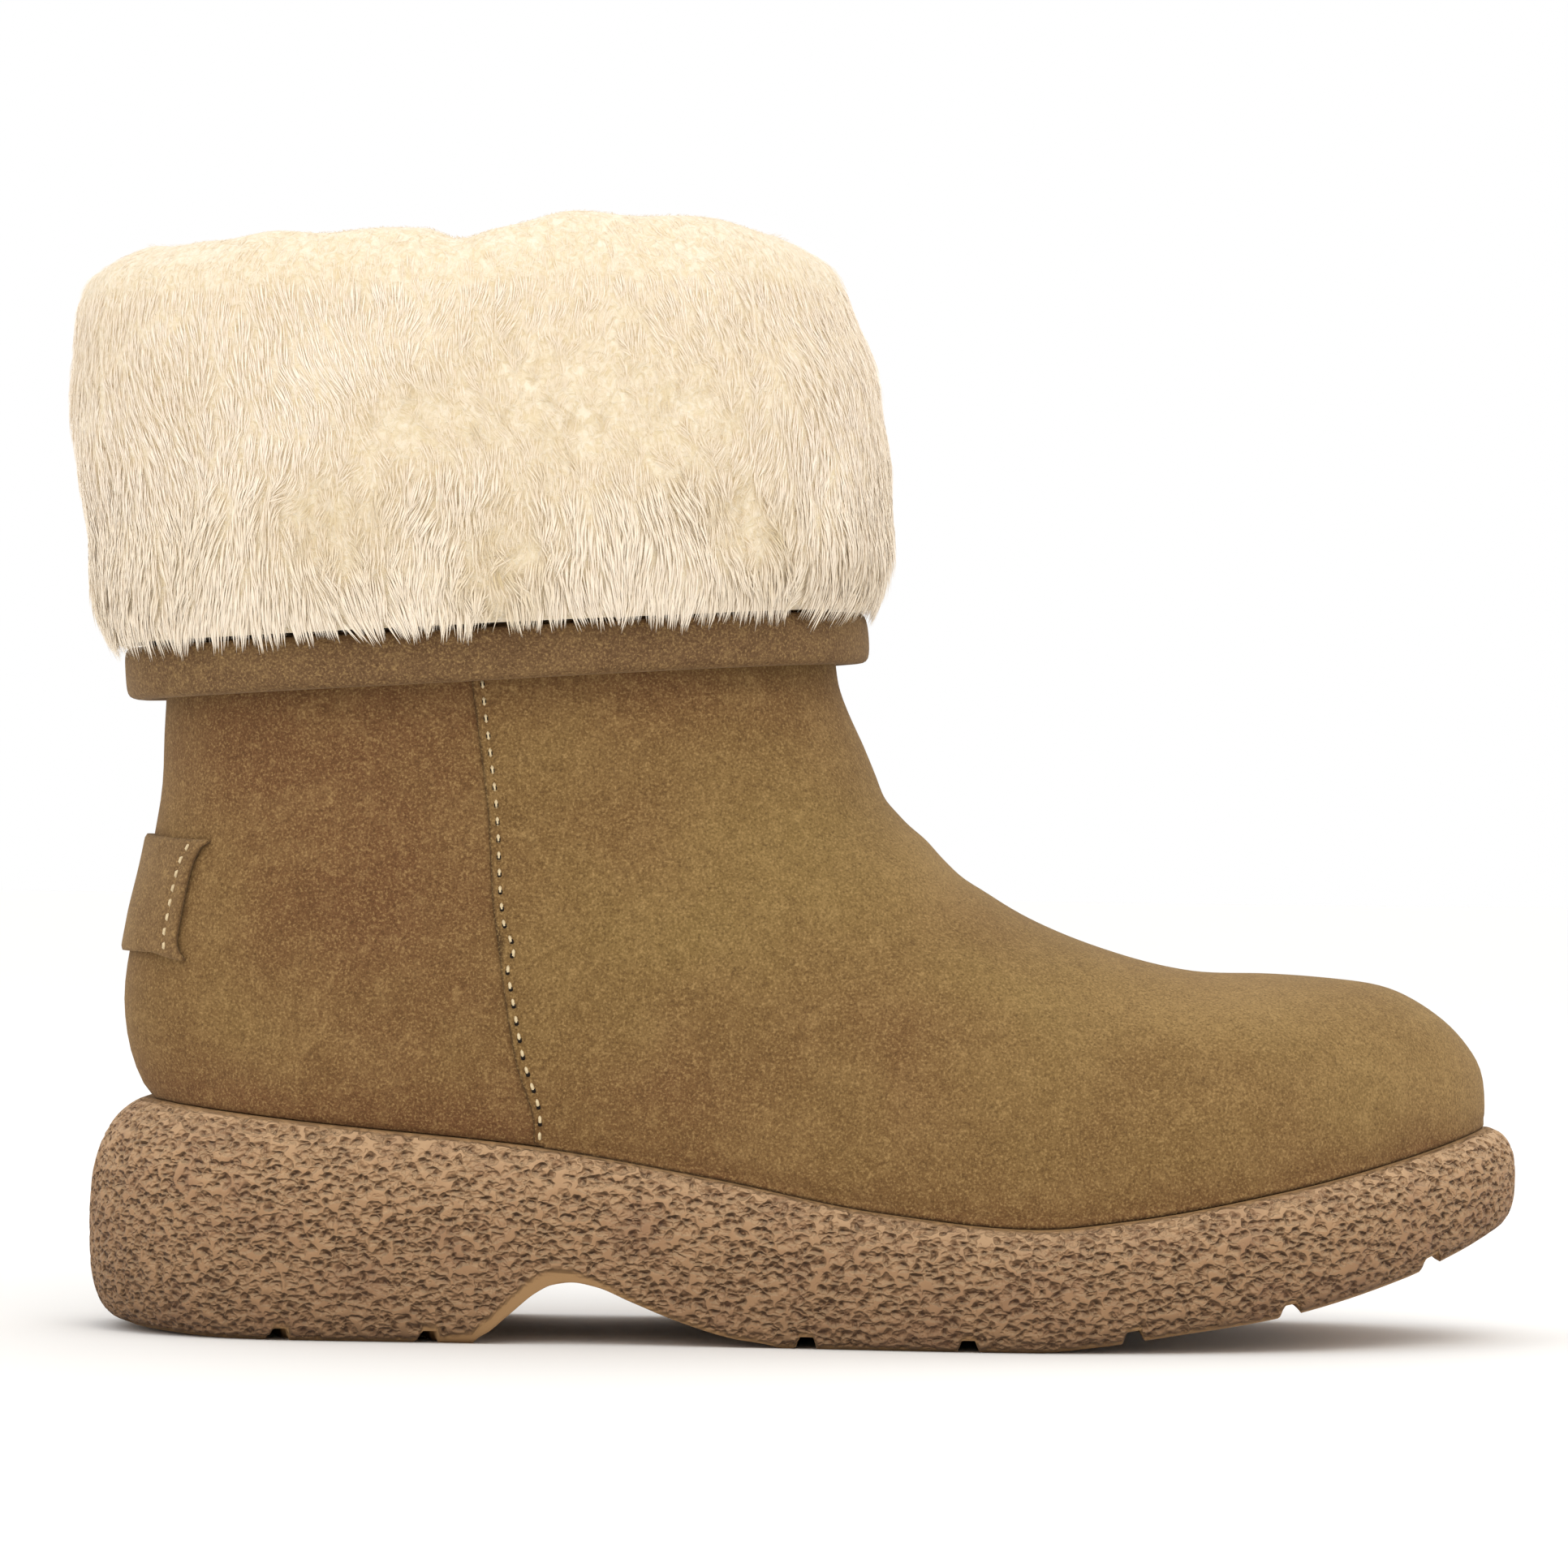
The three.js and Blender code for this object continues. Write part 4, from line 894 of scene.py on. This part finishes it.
woolShown, woolHidden = makeWoolBody()
around = unit(np.roll(woolShown, -1, axis=1) - np.roll(woolShown, 1, axis=1))
flow = unit(np.gradient(woolShown, axis=0))
outward = unit(np.cross(flow, around))
lumps = cuffLook["lumps"] * softNoise(woolShown, cuffLook["lumpSize"], 21)
lumps = lumps + cuffLook["curls"] * softNoise(woolShown, cuffLook["curlSize"], 22)
lowFade = smooth((np.arange(len(woolShown))[::-1][:, None]) / 8)  # the last 8 rows stay close over the binding
woolShown = woolShown + outward * (lumps * lowFade)[..., None]
woolPoints = np.concatenate([woolShown, woolHidden])
woolFaces = gridFaces(*woolPoints.shape[:2], closeRows=True, closeColumns=True)[:, ::-1]
woolBody = makePiece("woolPile", woolPoints, woolFaces, shortWool)
rowShare = np.linspace(0, 1, len(woolShown))[:, None] + 0 * lumps  # 0 inside the mouth, 1 at the lower edge
print("wool body:", len(woolBody.data.polygons), "faces")


def strandMesh(name, look):  # one lock of unit length: bowed, flat and three-sided, closed at both ends
    belly = [(look["bow"] + look["deep"] * math.cos(t), look["wide"] * math.sin(t), look["bellyAt"])
             for t in (0, 2 * math.pi / 3, 4 * math.pi / 3)]
    points = [(0, 0, 0), *belly, (look["curl"], 0, 1)]
    faces = [face for k in range(3) for face in ((0, 1 + (k + 1) % 3, 1 + k), (1 + k, 1 + (k + 1) % 3, 4))]
    strand, _ = addMesh(name, points, [], faces)
    setFloats(strand, "along", [0.0] + [0.45] * 3 + [1.0])
    return strand


def strandTree():  # scatters strands over a combed surface and draws them together in tufts
    tree, names, given = startTree("combedStrands", {
        "Strand": "Object", "Density": "Float", "TuftDensity": "Float", "Together": "Float", "Stray": "Float",
        "Roll": "Float", "Seed": "Int", "Wool": "Material"})
    comb, long, dense = (
        addNode(tree, "GeometryNodeInputNamedAttribute", {"Name": word}, data_type=kind).outputs[0]
        for word, kind in (("comb", "FLOAT_VECTOR"), ("long", "FLOAT"), ("dense", "FLOAT"))
    )
    place = addNode(tree, "GeometryNodeInputPosition").outputs[0]
    own = addNode(tree, "ShaderNodeVectorMath", {0: comb, "Scale": long}, operation="SCALE").outputs[0]
    density = addNode(tree, "ShaderNodeMath", {0: given["Density"], 1: dense}, operation="MULTIPLY").outputs[0]
    roots = addNode(tree, "GeometryNodeDistributePointsOnFaces", {
        "Mesh": given["Geometry"], "Density": density, "Seed": given["Seed"]}).outputs
    tuftSeed = addNode(tree, "ShaderNodeMath", {0: given["Seed"], 1: 91.0}, operation="ADD").outputs[0]
    tufts = addNode(tree, "GeometryNodeDistributePointsOnFaces", {
        "Mesh": given["Geometry"], "Density": given["TuftDensity"], "Seed": tuftSeed}).outputs["Points"]
    nearest = addNode(tree, "GeometryNodeSampleNearest", {"Geometry": tufts, "Sample Position": place},
                      domain="POINT").outputs[0]
    ownTip = addNode(tree, "ShaderNodeVectorMath", {0: place, 1: own}, operation="ADD").outputs[0]
    tuftTip = addNode(tree, "GeometryNodeSampleIndex", {"Geometry": tufts, "Value": ownTip, "Index": nearest},
                      data_type="FLOAT_VECTOR", domain="POINT").outputs[0]
    toTip = addNode(tree, "ShaderNodeVectorMath", {0: tuftTip, 1: place}, operation="SUBTRACT").outputs[0]
    loose = addNode(tree, "FunctionNodeRandomValue", {0: (-1.0,) * 3, 1: (1.0,) * 3, "Seed": 5},
                    data_type="FLOAT_VECTOR").outputs[0]
    strayed = loose
    for factor in (given["Stray"], long):
        strayed = addNode(tree, "ShaderNodeVectorMath", {0: strayed, "Scale": factor}, operation="SCALE").outputs[0]
    gathered = addNode(tree, "ShaderNodeMix", {0: given["Together"], 4: own, 5: toTip},
                       data_type="VECTOR", factor_mode="UNIFORM").outputs[1]
    way = addNode(tree, "ShaderNodeVectorMath", {0: gathered, 1: strayed}, operation="ADD").outputs[0]
    size = addNode(tree, "ShaderNodeVectorMath", {0: way}, operation="LENGTH").outputs["Value"]
    vary, shade = (
        addNode(tree, "FunctionNodeRandomValue", {2: low, 3: high, "Seed": number}, data_type="FLOAT").outputs[1]
        for low, high, number in ((0.6, 1.15, 3), (0.0, 1.0, 8))
    )
    size = addNode(tree, "ShaderNodeMath", {0: size, 1: vary}, operation="MULTIPLY").outputs[0]
    turn = addNode(tree, "FunctionNodeAlignRotationToVector", {"Vector": way}, axis="Z").outputs[0]
    roll = addNode(tree, "ShaderNodeVectorMath", {0: loose, "Scale": given["Roll"]}, operation="SCALE").outputs[0]
    upward = addNode(tree, "ShaderNodeVectorMath", {0: roots["Normal"], 1: roll}, operation="ADD").outputs[0]
    turn = addNode(tree, "FunctionNodeAlignRotationToVector", {
        "Rotation": turn, "Vector": upward}, axis="X", pivot_axis="Z").outputs[0]
    strand = addNode(tree, "GeometryNodeObjectInfo", {"Object": given["Strand"]}).outputs["Geometry"]
    put = addNode(tree, "GeometryNodeInstanceOnPoints", {
        "Points": roots["Points"], "Instance": strand, "Rotation": turn, "Scale": size}).outputs[0]
    put = addNode(tree, "GeometryNodeStoreNamedAttribute", {
        "Geometry": put, "Name": "shade", "Value": shade}, data_type="FLOAT", domain="INSTANCE").outputs[0]
    endTree(tree, put, given["Wool"])
    return tree, names


strandLook = {
    "deep": 0.005, "wide": 0.024, "bellyAt": 0.5, "bow": 0.045, "curl": -0.02, "length": 7.4, "short": 5.2,
    "overhang": 6.5, "crest": 0.38, "crestWide": 0.13, "crestShorter": 0.55, "lift": 0.085, "roll": 0.25,
    "together": 0.38, "stray": 0.07, "tufts": 0.08, "faceStart": 0.5, "overlap": 0.02,
}
oneStrand = strandMesh("oneStrand", strandLook)
combing = strandTree()

# Curly patches on the outer face, where the wool is rubbed: middle x and z, reach in x and z
mussedRows = [(83, 184, 20, 14), (56, 178, 10, 7), (43, 160, 13, 11), (109, 180, 14, 12), (122, 161, 7, 8),
              (76, 152, 8, 10)]


def mussedShare():  # how rubbed and curly the wool is at each point
    share = 0.25 * smooth(softNoise(woolShown, 30, 51)) * smooth((rowShare - 0.45) / 0.1)
    for x, z, reachX, reachZ in mussedRows:
        spot = np.exp(-(((woolShown[..., 0] - x) / reachX) ** 2) - ((woolShown[..., 2] - z) / reachZ) ** 2)
        share = share + spot * smooth(-woolShown[..., 1] / 20)
    return np.clip(share, 0, 1)


def combWay(mussed):  # the way the wool lies at each point: over the top and down, swept a little aside
    side = math.radians(24) * softNoise(woolShown, 34, 31) + math.radians(14) * softNoise(woolShown, 12, 32)
    side = side + math.radians(85) * mussed * softNoise(woolShown, 5, 33)
    tuck = 0.12 * smooth((rowShare - 0.88) / 0.12)  # the lowest wool turns in over the binding
    lift = strandLook["lift"] + 0.3 * mussed - tuck
    return flow * np.cos(side)[..., None] + around * np.sin(side)[..., None] + outward * lift[..., None]


def strandPatch(name, keep, length, density, strandSeed):  # density: strands to a square millimetre
    faces = gridFaces(*woolShown.shape[:2], closeColumns=True)[:, ::-1]
    kept = keep.ravel()[faces].all(axis=1)
    patch = makePiece(name, woolShown, faces[kept], combedWool, 0.0)
    if len(patch.data.vertices) != woolShown[..., 0].size:
        raise ValueError("the patch's points changed")
    mussed = mussedShare()
    mottle = mussed * (0.25 + 0.6 * smooth(1.4 * softNoise(woolShown, 4.5, 52) - 0.1))
    mottle = mottle + 0.22 * smooth((0.52 - rowShare) / 0.12) + 0.12 * smooth((rowShare - 0.75) / 0.1)
    setFloats(patch, "comb", combWay(mussed), "FLOAT_VECTOR")
    setFloats(patch, "dense", mix(0.35, 1.0, smooth(rowShare / 0.2)) + 0.9 * smooth((rowShare - 0.93) / 0.05))
    setFloats(patch, "long", length * (1 - 0.5 * mussed * smooth((0.97 - rowShare) / 0.08)) * mm)
    setFloats(patch, "mottle", mottle)
    return useTree(patch, combing, Strand=oneStrand, Density=density / mm**2, TuftDensity=strandLook["tufts"] / mm**2,
                   Together=strandLook["together"], Stray=strandLook["stray"], Roll=strandLook["roll"],
                   Seed=strandSeed, Wool=combedWool)


toEdge = np.cumsum(np.linalg.norm(np.diff(woolShown[::-1], axis=0, prepend=woolShown[-1:]), axis=-1), axis=0)[::-1]
ragged = 1.8 * softNoise(woolShown, 6, 61) + 0.9 * softNoise(woolShown, 3, 62)
longest = mix(strandLook["short"], strandLook["length"], smooth((rowShare - 0.7) / 0.16))
strandLength = np.minimum(longest, strandLook["overhang"] + ragged + 0.9 * toEdge)
strandLength = strandLength * (
    1 - strandLook["crestShorter"] * hump(rowShare - strandLook["crest"], strandLook["crestWide"]))
onFace = rowShare >= strandLook["faceStart"] - strandLook["overlap"]
strandPatches = [strandPatch(*row) for row in (
    ("rimWool", rowShare <= strandLook["faceStart"], 0.8 * strandLength, 1.35, 1),
    ("outerCuffWool", onFace & (woolShown[..., 1] < 3), strandLength, 2.05, 2),
    ("innerCuffWool", onFace & (woolShown[..., 1] > -3), strandLength, 1.7, 3),
)]
for patch in strandPatches:
    print("strands:", patch.name, len(patch.data.polygons), "faces")

# Binding
bindingRows = [
    (0.08, 0.96), (0.5, 1.0), (0.84, 1.0), (0.97, 0.9), (1.0, 0.72), (1.0, 0.5), (0.98, 0.28), (0.93, 0.1),
    (0.8, 0.02), (0.45, 0.0), (0.08, 0.04),
]  # share of its thickness, share of its height


def makeBinding():
    angle = np.linspace(0, 2 * math.pi, cuffLook["bindingTurns"], endpoint=False)
    low = cuffEdge(angle)
    inner = last["seamStep"] + last["gap"]
    rings = []
    for wide, high in bindingRows:
        sag = 0.5 * np.sin(2.3 * angle + 1) + 0.3 * np.sin(5 * angle)
        out = mix(inner, cuffLook["bindingThick"], wide) + 0.3 * wide * np.sin(9 * angle + 2 * high)
        rings.append(cuffPoint(angle, out, low + high * cuffLook["bindingHeight"] + 0.4 * sag * (wide > 0.5)))
    points = np.array(rings)
    faces = gridFaces(*points.shape[:2], closeRows=True, closeColumns=True)[:, ::-1]
    binding = makePiece("cuffBindingStrip", points, faces, bindingSuede)
    rounder = binding.modifiers.new("rounder", "SUBSURF")
    rounder.levels = rounder.render_levels = 1
    return settle(binding)


bindingStrip = makeBinding()

# Heel tab
tabLook = {
    "thick": 1.5, "height": 22.5, "base": 28.6, "reach": 15.2, "halfWide": 22, "stitchIn": 2.2, "rows": 30,
    "columns": 81, "corner": 0.06, "crown": 0.02,
}
tabRows = [(-0.06, 0.93), (0.11, 0.82), (0.3, 0.86), (0.74, 1.0), (0.885, 1.09), (0.99, 1.24)]  # height, reach
tabSide = columnCurve(tabRows, 0, 1)


def backAngle(s, x, hand):  # angle at which a section comes round to x, from the back
    return halve(np.zeros(s.shape), np.full(s.shape, math.pi), lambda a: formPoint(s, hand * a)[..., 0] > x)


def sectionAtHeight(z, angle):
    low, high = np.full(z.shape, len(footRows) - 1.0), np.full(z.shape, float(lastRow))
    return halve(low, high, lambda s: formPoint(s, angle)[..., 2] < z)


def tabPoint(v, u, out):  # v up the tab from 0 to 1, u across it from -1 to 1
    baseLine = -tabLook["corner"] * smooth((np.abs(u) - 0.72) / 0.28)
    topLine = 1 + tabLook["crown"] * np.cos(u * 3)
    v = mix(baseLine, topLine, v)
    z = last["heelBed"] + tabLook["base"] + v * tabLook["height"]
    edge = tabSide(v) * tabLook["reach"]
    hand = np.where(u < 0, -1.0, 1.0)
    s = sectionAtHeight(z, hand * 0 + math.pi)
    angle = backAngle(s, edge, hand)
    for _ in range(3):
        s = sectionAtHeight(z, hand * angle)
        angle = backAngle(s, edge, hand)
    turn = math.pi - (math.pi - angle) * np.abs(u)
    s = sectionAtHeight(z, hand * turn)
    return skin(s, hand * turn, out + 0 * s)


def makeTab():
    v, u = np.meshgrid(np.linspace(0, 1, tabLook["rows"]), np.linspace(-1, 1, tabLook["columns"]), indexing="ij")
    rim = np.minimum(np.minimum(v, 1 - v) * tabLook["height"], (1 - np.abs(u)) * tabLook["halfWide"])
    outer = last["gap"] + tabLook["thick"] - 0.35 * hump(rim, 0.5)
    outer = outer - 0.25 * np.exp(-((rim - tabLook["stitchIn"]) / 0.8) ** 2) * (np.abs(u) > 0.6)
    points = tabPoint(v, u, outer)
    tab = makePiece("backTab", points, gridFaces(*v.shape)[:, ::-1], tabSuede)
    return thicken(tab, tabLook["thick"] - 0.2)


backTab = makeTab()
print("tab:", len(backTab.data.polygons), "faces")

# Wool lining and insole
liningLook = {"thick": 3.2, "insole": 6, "rows": 84, "columns": 64, "toeGap": 3.0, "mouthGap": 1.6, "inset": 1.2}
insoleRows = [(3.6, 0.4), (3.2, 2.0), (3.3, 4.2), (4.4, 5.6), (7.0, 6.0)]  # in from the line, up from the bed


def makeLining():
    look = liningLook
    s = evenRows(look["rows"], look["toeGap"], lastRow - look["mouthGap"])
    angle = archAngles(s, look["columns"], look["insole"] + 1.2)
    s = s[:, None] + 0 * angle
    base = formPoint(s, angle)
    rough = 0.5 * softNoise(base, 5, 41) + 0.5 * softNoise(base, 9, 42)
    points = base + formNormal(s, angle) * (-last["wall"] - 1.6 - 0.3 * rough)[..., None]
    lining = makePiece("woolLining", points, gridFaces(*angle.shape), shortWool, upperLook["merge"])
    return thicken(lining, look["thick"] - 1)


def makeInsole():
    line = featherLine(260)
    normal = awayFrom(line, 3)
    wall = []
    for inward, up in insoleRows:
        xy = line - normal * (inward + liningLook["inset"])
        wall.append(raised(xy, bedAt(xy[:, 0]) + up))
    wall = np.array(wall)
    under, over = rungs(wall[0], 6), rungs(wall[-1], 40)
    lump = 0.25 * softNoise(raised(over, over[..., 0]), 6, 43) * np.sin(np.pi * np.linspace(0, 1, 40))
    under = raised(under, bedAt(under[..., 0]) + insoleRows[0][1])
    over = raised(over, bedAt(over[..., 0]) + insoleRows[-1][1] + lump)
    return makePiece("sheepskinInsole", *closedSlab(wall, under, over), shortWool, 0.002)


woolLining = makeLining()
insoleTop = makeInsole()
print("lining:", len(woolLining.data.polygons), "insole:", len(insoleTop.data.polygons))


# Stitches
def stitchMesh(name, length, thick):  # a short thread, thicker in its middle, sunk at both ends
    rings = [(-0.5, 0.35, -0.35), (-0.28, 0.95, 0.1), (0.28, 0.95, 0.1), (0.5, 0.35, -0.35)]
    sides = 6
    points = [
        (at * length, wide * thick / 2 * math.cos(turn), (wide * math.sin(turn) / 2 + lift) * thick)
        for at, wide, lift in rings for turn in (2 * math.pi * k / sides for k in range(sides))
    ]
    faces = gridFaces(len(rings), sides, closeColumns=True).tolist()
    faces += [tuple(range(sides)), tuple(sides * len(rings) - 1 - k for k in range(sides))]
    piece, mesh = addMesh(name, points, [], faces)
    shape = bmesh.new()
    shape.from_mesh(mesh)
    bmesh.ops.recalc_face_normals(shape, faces=shape.faces)
    shape.to_mesh(mesh)
    shape.free()
    mesh.shade_smooth()
    return piece


def stitchTree():  # repeats one stitch along a line
    tree, names, given = startTree("stitchRow", {"Stitch": "Object", "Pitch": "Float", "Thread": "Material"})
    kept = addNode(tree, "GeometryNodeInputNamedAttribute", {"Name": "out"}, data_type="FLOAT_VECTOR").outputs[0]
    path = addNode(tree, "GeometryNodeMeshToCurve", {"Mesh": given["Geometry"]}).outputs[0]
    even = addNode(tree, "GeometryNodeResampleCurve", {"Curve": path, "Length": given["Pitch"]}, mode="LENGTH")
    tangent = addNode(tree, "GeometryNodeInputTangent").outputs[0]
    turn = addNode(tree, "FunctionNodeAlignRotationToVector", {"Vector": tangent}, axis="X").outputs[0]
    turn = addNode(tree, "FunctionNodeAlignRotationToVector", {"Rotation": turn, "Vector": kept},
                   axis="Z", pivot_axis="X").outputs[0]
    one = addNode(tree, "GeometryNodeObjectInfo", {"Object": given["Stitch"]}).outputs["Geometry"]
    put = addNode(tree, "GeometryNodeInstanceOnPoints", {
        "Points": even.outputs[0], "Instance": one, "Rotation": turn}).outputs[0]
    endTree(tree, put, given["Thread"])
    return tree, names


stitching = stitchTree()
stitchLook = {
    "pitch": 3.3, "tabPitch": 0.85, "length": 1.7, "thick": 0.68, "fromEdge": 1.9, "hole": 1.15, "holeWide": 0.85,
    "ahead": 1.3, "holeSunk": 0.12, "fromRow": 11.0, "rowsUp": 9.0, "overBed": 1.0, "underCuff": 3,
}
oneStitch = stitchMesh("oneStitch", stitchLook["length"] * mm, stitchLook["thick"] * mm)
oneHole = stitchMesh("oneHole", stitchLook["hole"] * mm, stitchLook["holeWide"] * mm)


def sew(name, points, outs, one, thread, pitch=1.0):  # repeats a stitch or hole along points; outs point off the skin
    path, _ = addMesh(name, toFrame(points), [(i, i + 1) for i in range(len(points) - 1)], [])
    setFloats(path, "out", outs, "FLOAT_VECTOR")
    return useTree(path, stitching, Stitch=one, Pitch=stitchLook["pitch"] * pitch * mm, Thread=thread)


def seamStitches(hand, word):
    look = stitchLook
    s = np.linspace(look["fromRow"], ankleRow + look["rowsUp"], 400)
    limit = seamAngle(s, hand)
    angle = hand * (limit - look["fromEdge"] / seamSpeed(s, hand, limit))
    points = skin(s, angle, 0 * s + last["seamStep"] - 0.1)
    top = cuffEdge(np.array([math.pi / 2]))[0] + look["underCuff"]
    keep = (limit < featherAngle(s, hand, last["gap"])) & (points[:, 2] < top)
    keep &= points[:, 2] > bedAt(points[:, 0]) + look["overBed"]
    points, outs = points[keep], formNormal(s, angle)[keep]
    thread = sew(word + "SeamStitches", points, outs, oneStitch, threadCream)
    start = np.searchsorted(runningSum(np.linalg.norm(np.diff(points, axis=0), axis=1)), look["ahead"])
    # near-black bodies at the needle holes: painted shade
    sunk = points[start:] - outs[start:] * look["holeSunk"]
    return thread, sew(word + "SeamHoles", sunk, outs[start:], oneHole, holeDark)


def tabStitches(hand, word):
    v = np.linspace(0.1, 0.93, 60)
    u = hand * (1 - tabLook["stitchIn"] / tabLook["halfWide"]) + 0 * v
    points, deeper = (tabPoint(v, u, last["gap"] + tabLook["thick"] - sunk) for sunk in (0.2, 1.2))
    return sew(word + "TabStitches", points, points - deeper, oneStitch, threadCream, stitchLook["tabPitch"])


threads = [*seamStitches(-1, "outer"), *seamStitches(1, "inner"), tabStitches(-1, "outer"), tabStitches(1, "inner")]
for helper in (oneStrand, oneStitch, oneHole):
    bpy.data.objects.remove(helper)
print("stitches:", sum(len(t.data.polygons) for t in threads), "faces")


# Floor, light and camera
stageLook = {"floor": "#f2f1ef", "halfFloor": 6.0, "level": 1.0, "overhead": 1.22, "aimHeight": 0.1}
lightRows = [
    ("key", (0.3, -1.1, 1.35), 1.0, 6.0), ("fill", (-1.1, -1.2, 0.6), 1.4, 2.4), ("rim", (0.3, 1.0, 1.4), 1.0, 2.5),
]  # name, place, size in metres, watts
cameraLook = {"x": 0.3, "away": 1600, "height": 108.5, "roll": 0.65, "seen": 311, "sensor": 36}


def makeStage():
    half = stageLook["halfFloor"]
    corners = [(-half, -half, 0), (half, -half, 0), (half, half, 0), (-half, half, 0)]
    floor, mesh = addMesh("floor", corners, [], [(0, 1, 2, 3)])
    material, tree, _, _ = newMaterial("paleFloor")
    addNode(tree, "ShaderNodeOutputMaterial", {"Surface": addNode(tree, "ShaderNodeBsdfPrincipled", {
        "Base Color": linear(stageLook["floor"]), "Roughness": 0.9}).outputs["BSDF"]})
    mesh.materials.append(material)
    world = bpy.data.worlds.new("softWorld")  # an even white room, brighter overhead
    world.use_nodes = True
    room = world.node_tree
    way = addNode(room, "ShaderNodeTexCoord").outputs["Generated"]
    height = addNode(room, "ShaderNodeSeparateXYZ", {0: way}).outputs["Z"]
    strength = addNode(room, "ShaderNodeMapRange", {
        "Value": height, "From Min": 0.15, "From Max": 1.0, "To Min": stageLook["level"],
        "To Max": stageLook["overhead"]}).outputs["Result"]
    room.links.new(strength, room.nodes["Background"].inputs["Strength"])
    room.nodes["Background"].inputs["Color"].default_value = (1, 1, 1, 1)
    bpy.context.scene.world = world
    bpy.context.scene.view_settings.view_transform = "Standard"


def addLight(name, place, size, power):
    light = bpy.data.lights.new(name, "AREA")
    light.shape = "DISK"
    light.size = size
    light.energy = power
    light.color = linear("#fffaf2")[:3]
    lamp = addObject(name, light)
    lamp.location = place
    lamp.rotation_euler = (Vector((0, 0, stageLook["aimHeight"])) - Vector(place)).to_track_quat("-Z", "Y").to_euler()


def makeCamera():
    data = bpy.data.cameras.new("photoCamera")
    data.sensor_width = cameraLook["sensor"]
    data.lens = cameraLook["sensor"] * cameraLook["away"] / cameraLook["seen"]
    data.clip_end = 50
    camera = addObject("photoCamera", data)
    place = Matrix.Translation(Vector((cameraLook["x"], -cameraLook["away"], cameraLook["height"])) * mm)
    camera.matrix_world = (
        place @ Matrix.Rotation(math.radians(90), 4, "X") @ Matrix.Rotation(math.radians(cameraLook["roll"]), 4, "Z")
    )
    bpy.context.scene.camera = camera


makeStage()
for row in lightRows:
    addLight(*row)
makeCamera()

# Each piece goes on the root body and hides the imported parts it stands for; the slot names are listed but not used
for piece, slotName, nodes in [
    (upperWall, "upper_suede", ["upper"]), (frontPanel, "upper_suede", ["upper"]),
    (mouldedSole, "sole_rubber", ["sole"]), (insoleTop, "wool_lining", ["insole"]),
    (woolLining, "wool_lining", []), *[(wool, "cuff_wool", ["cuff_fleece"]) for wool in (woolBody, *strandPatches)],
    (bindingStrip, "binding_suede", ["cuff_binding"]), (backTab, "tab_suede", ["heel_tab"]),
    *[(thread, "upper_suede", []) for thread in threads],
]:
    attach(piece, "root")
    if nodes:
        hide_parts(*nodes)
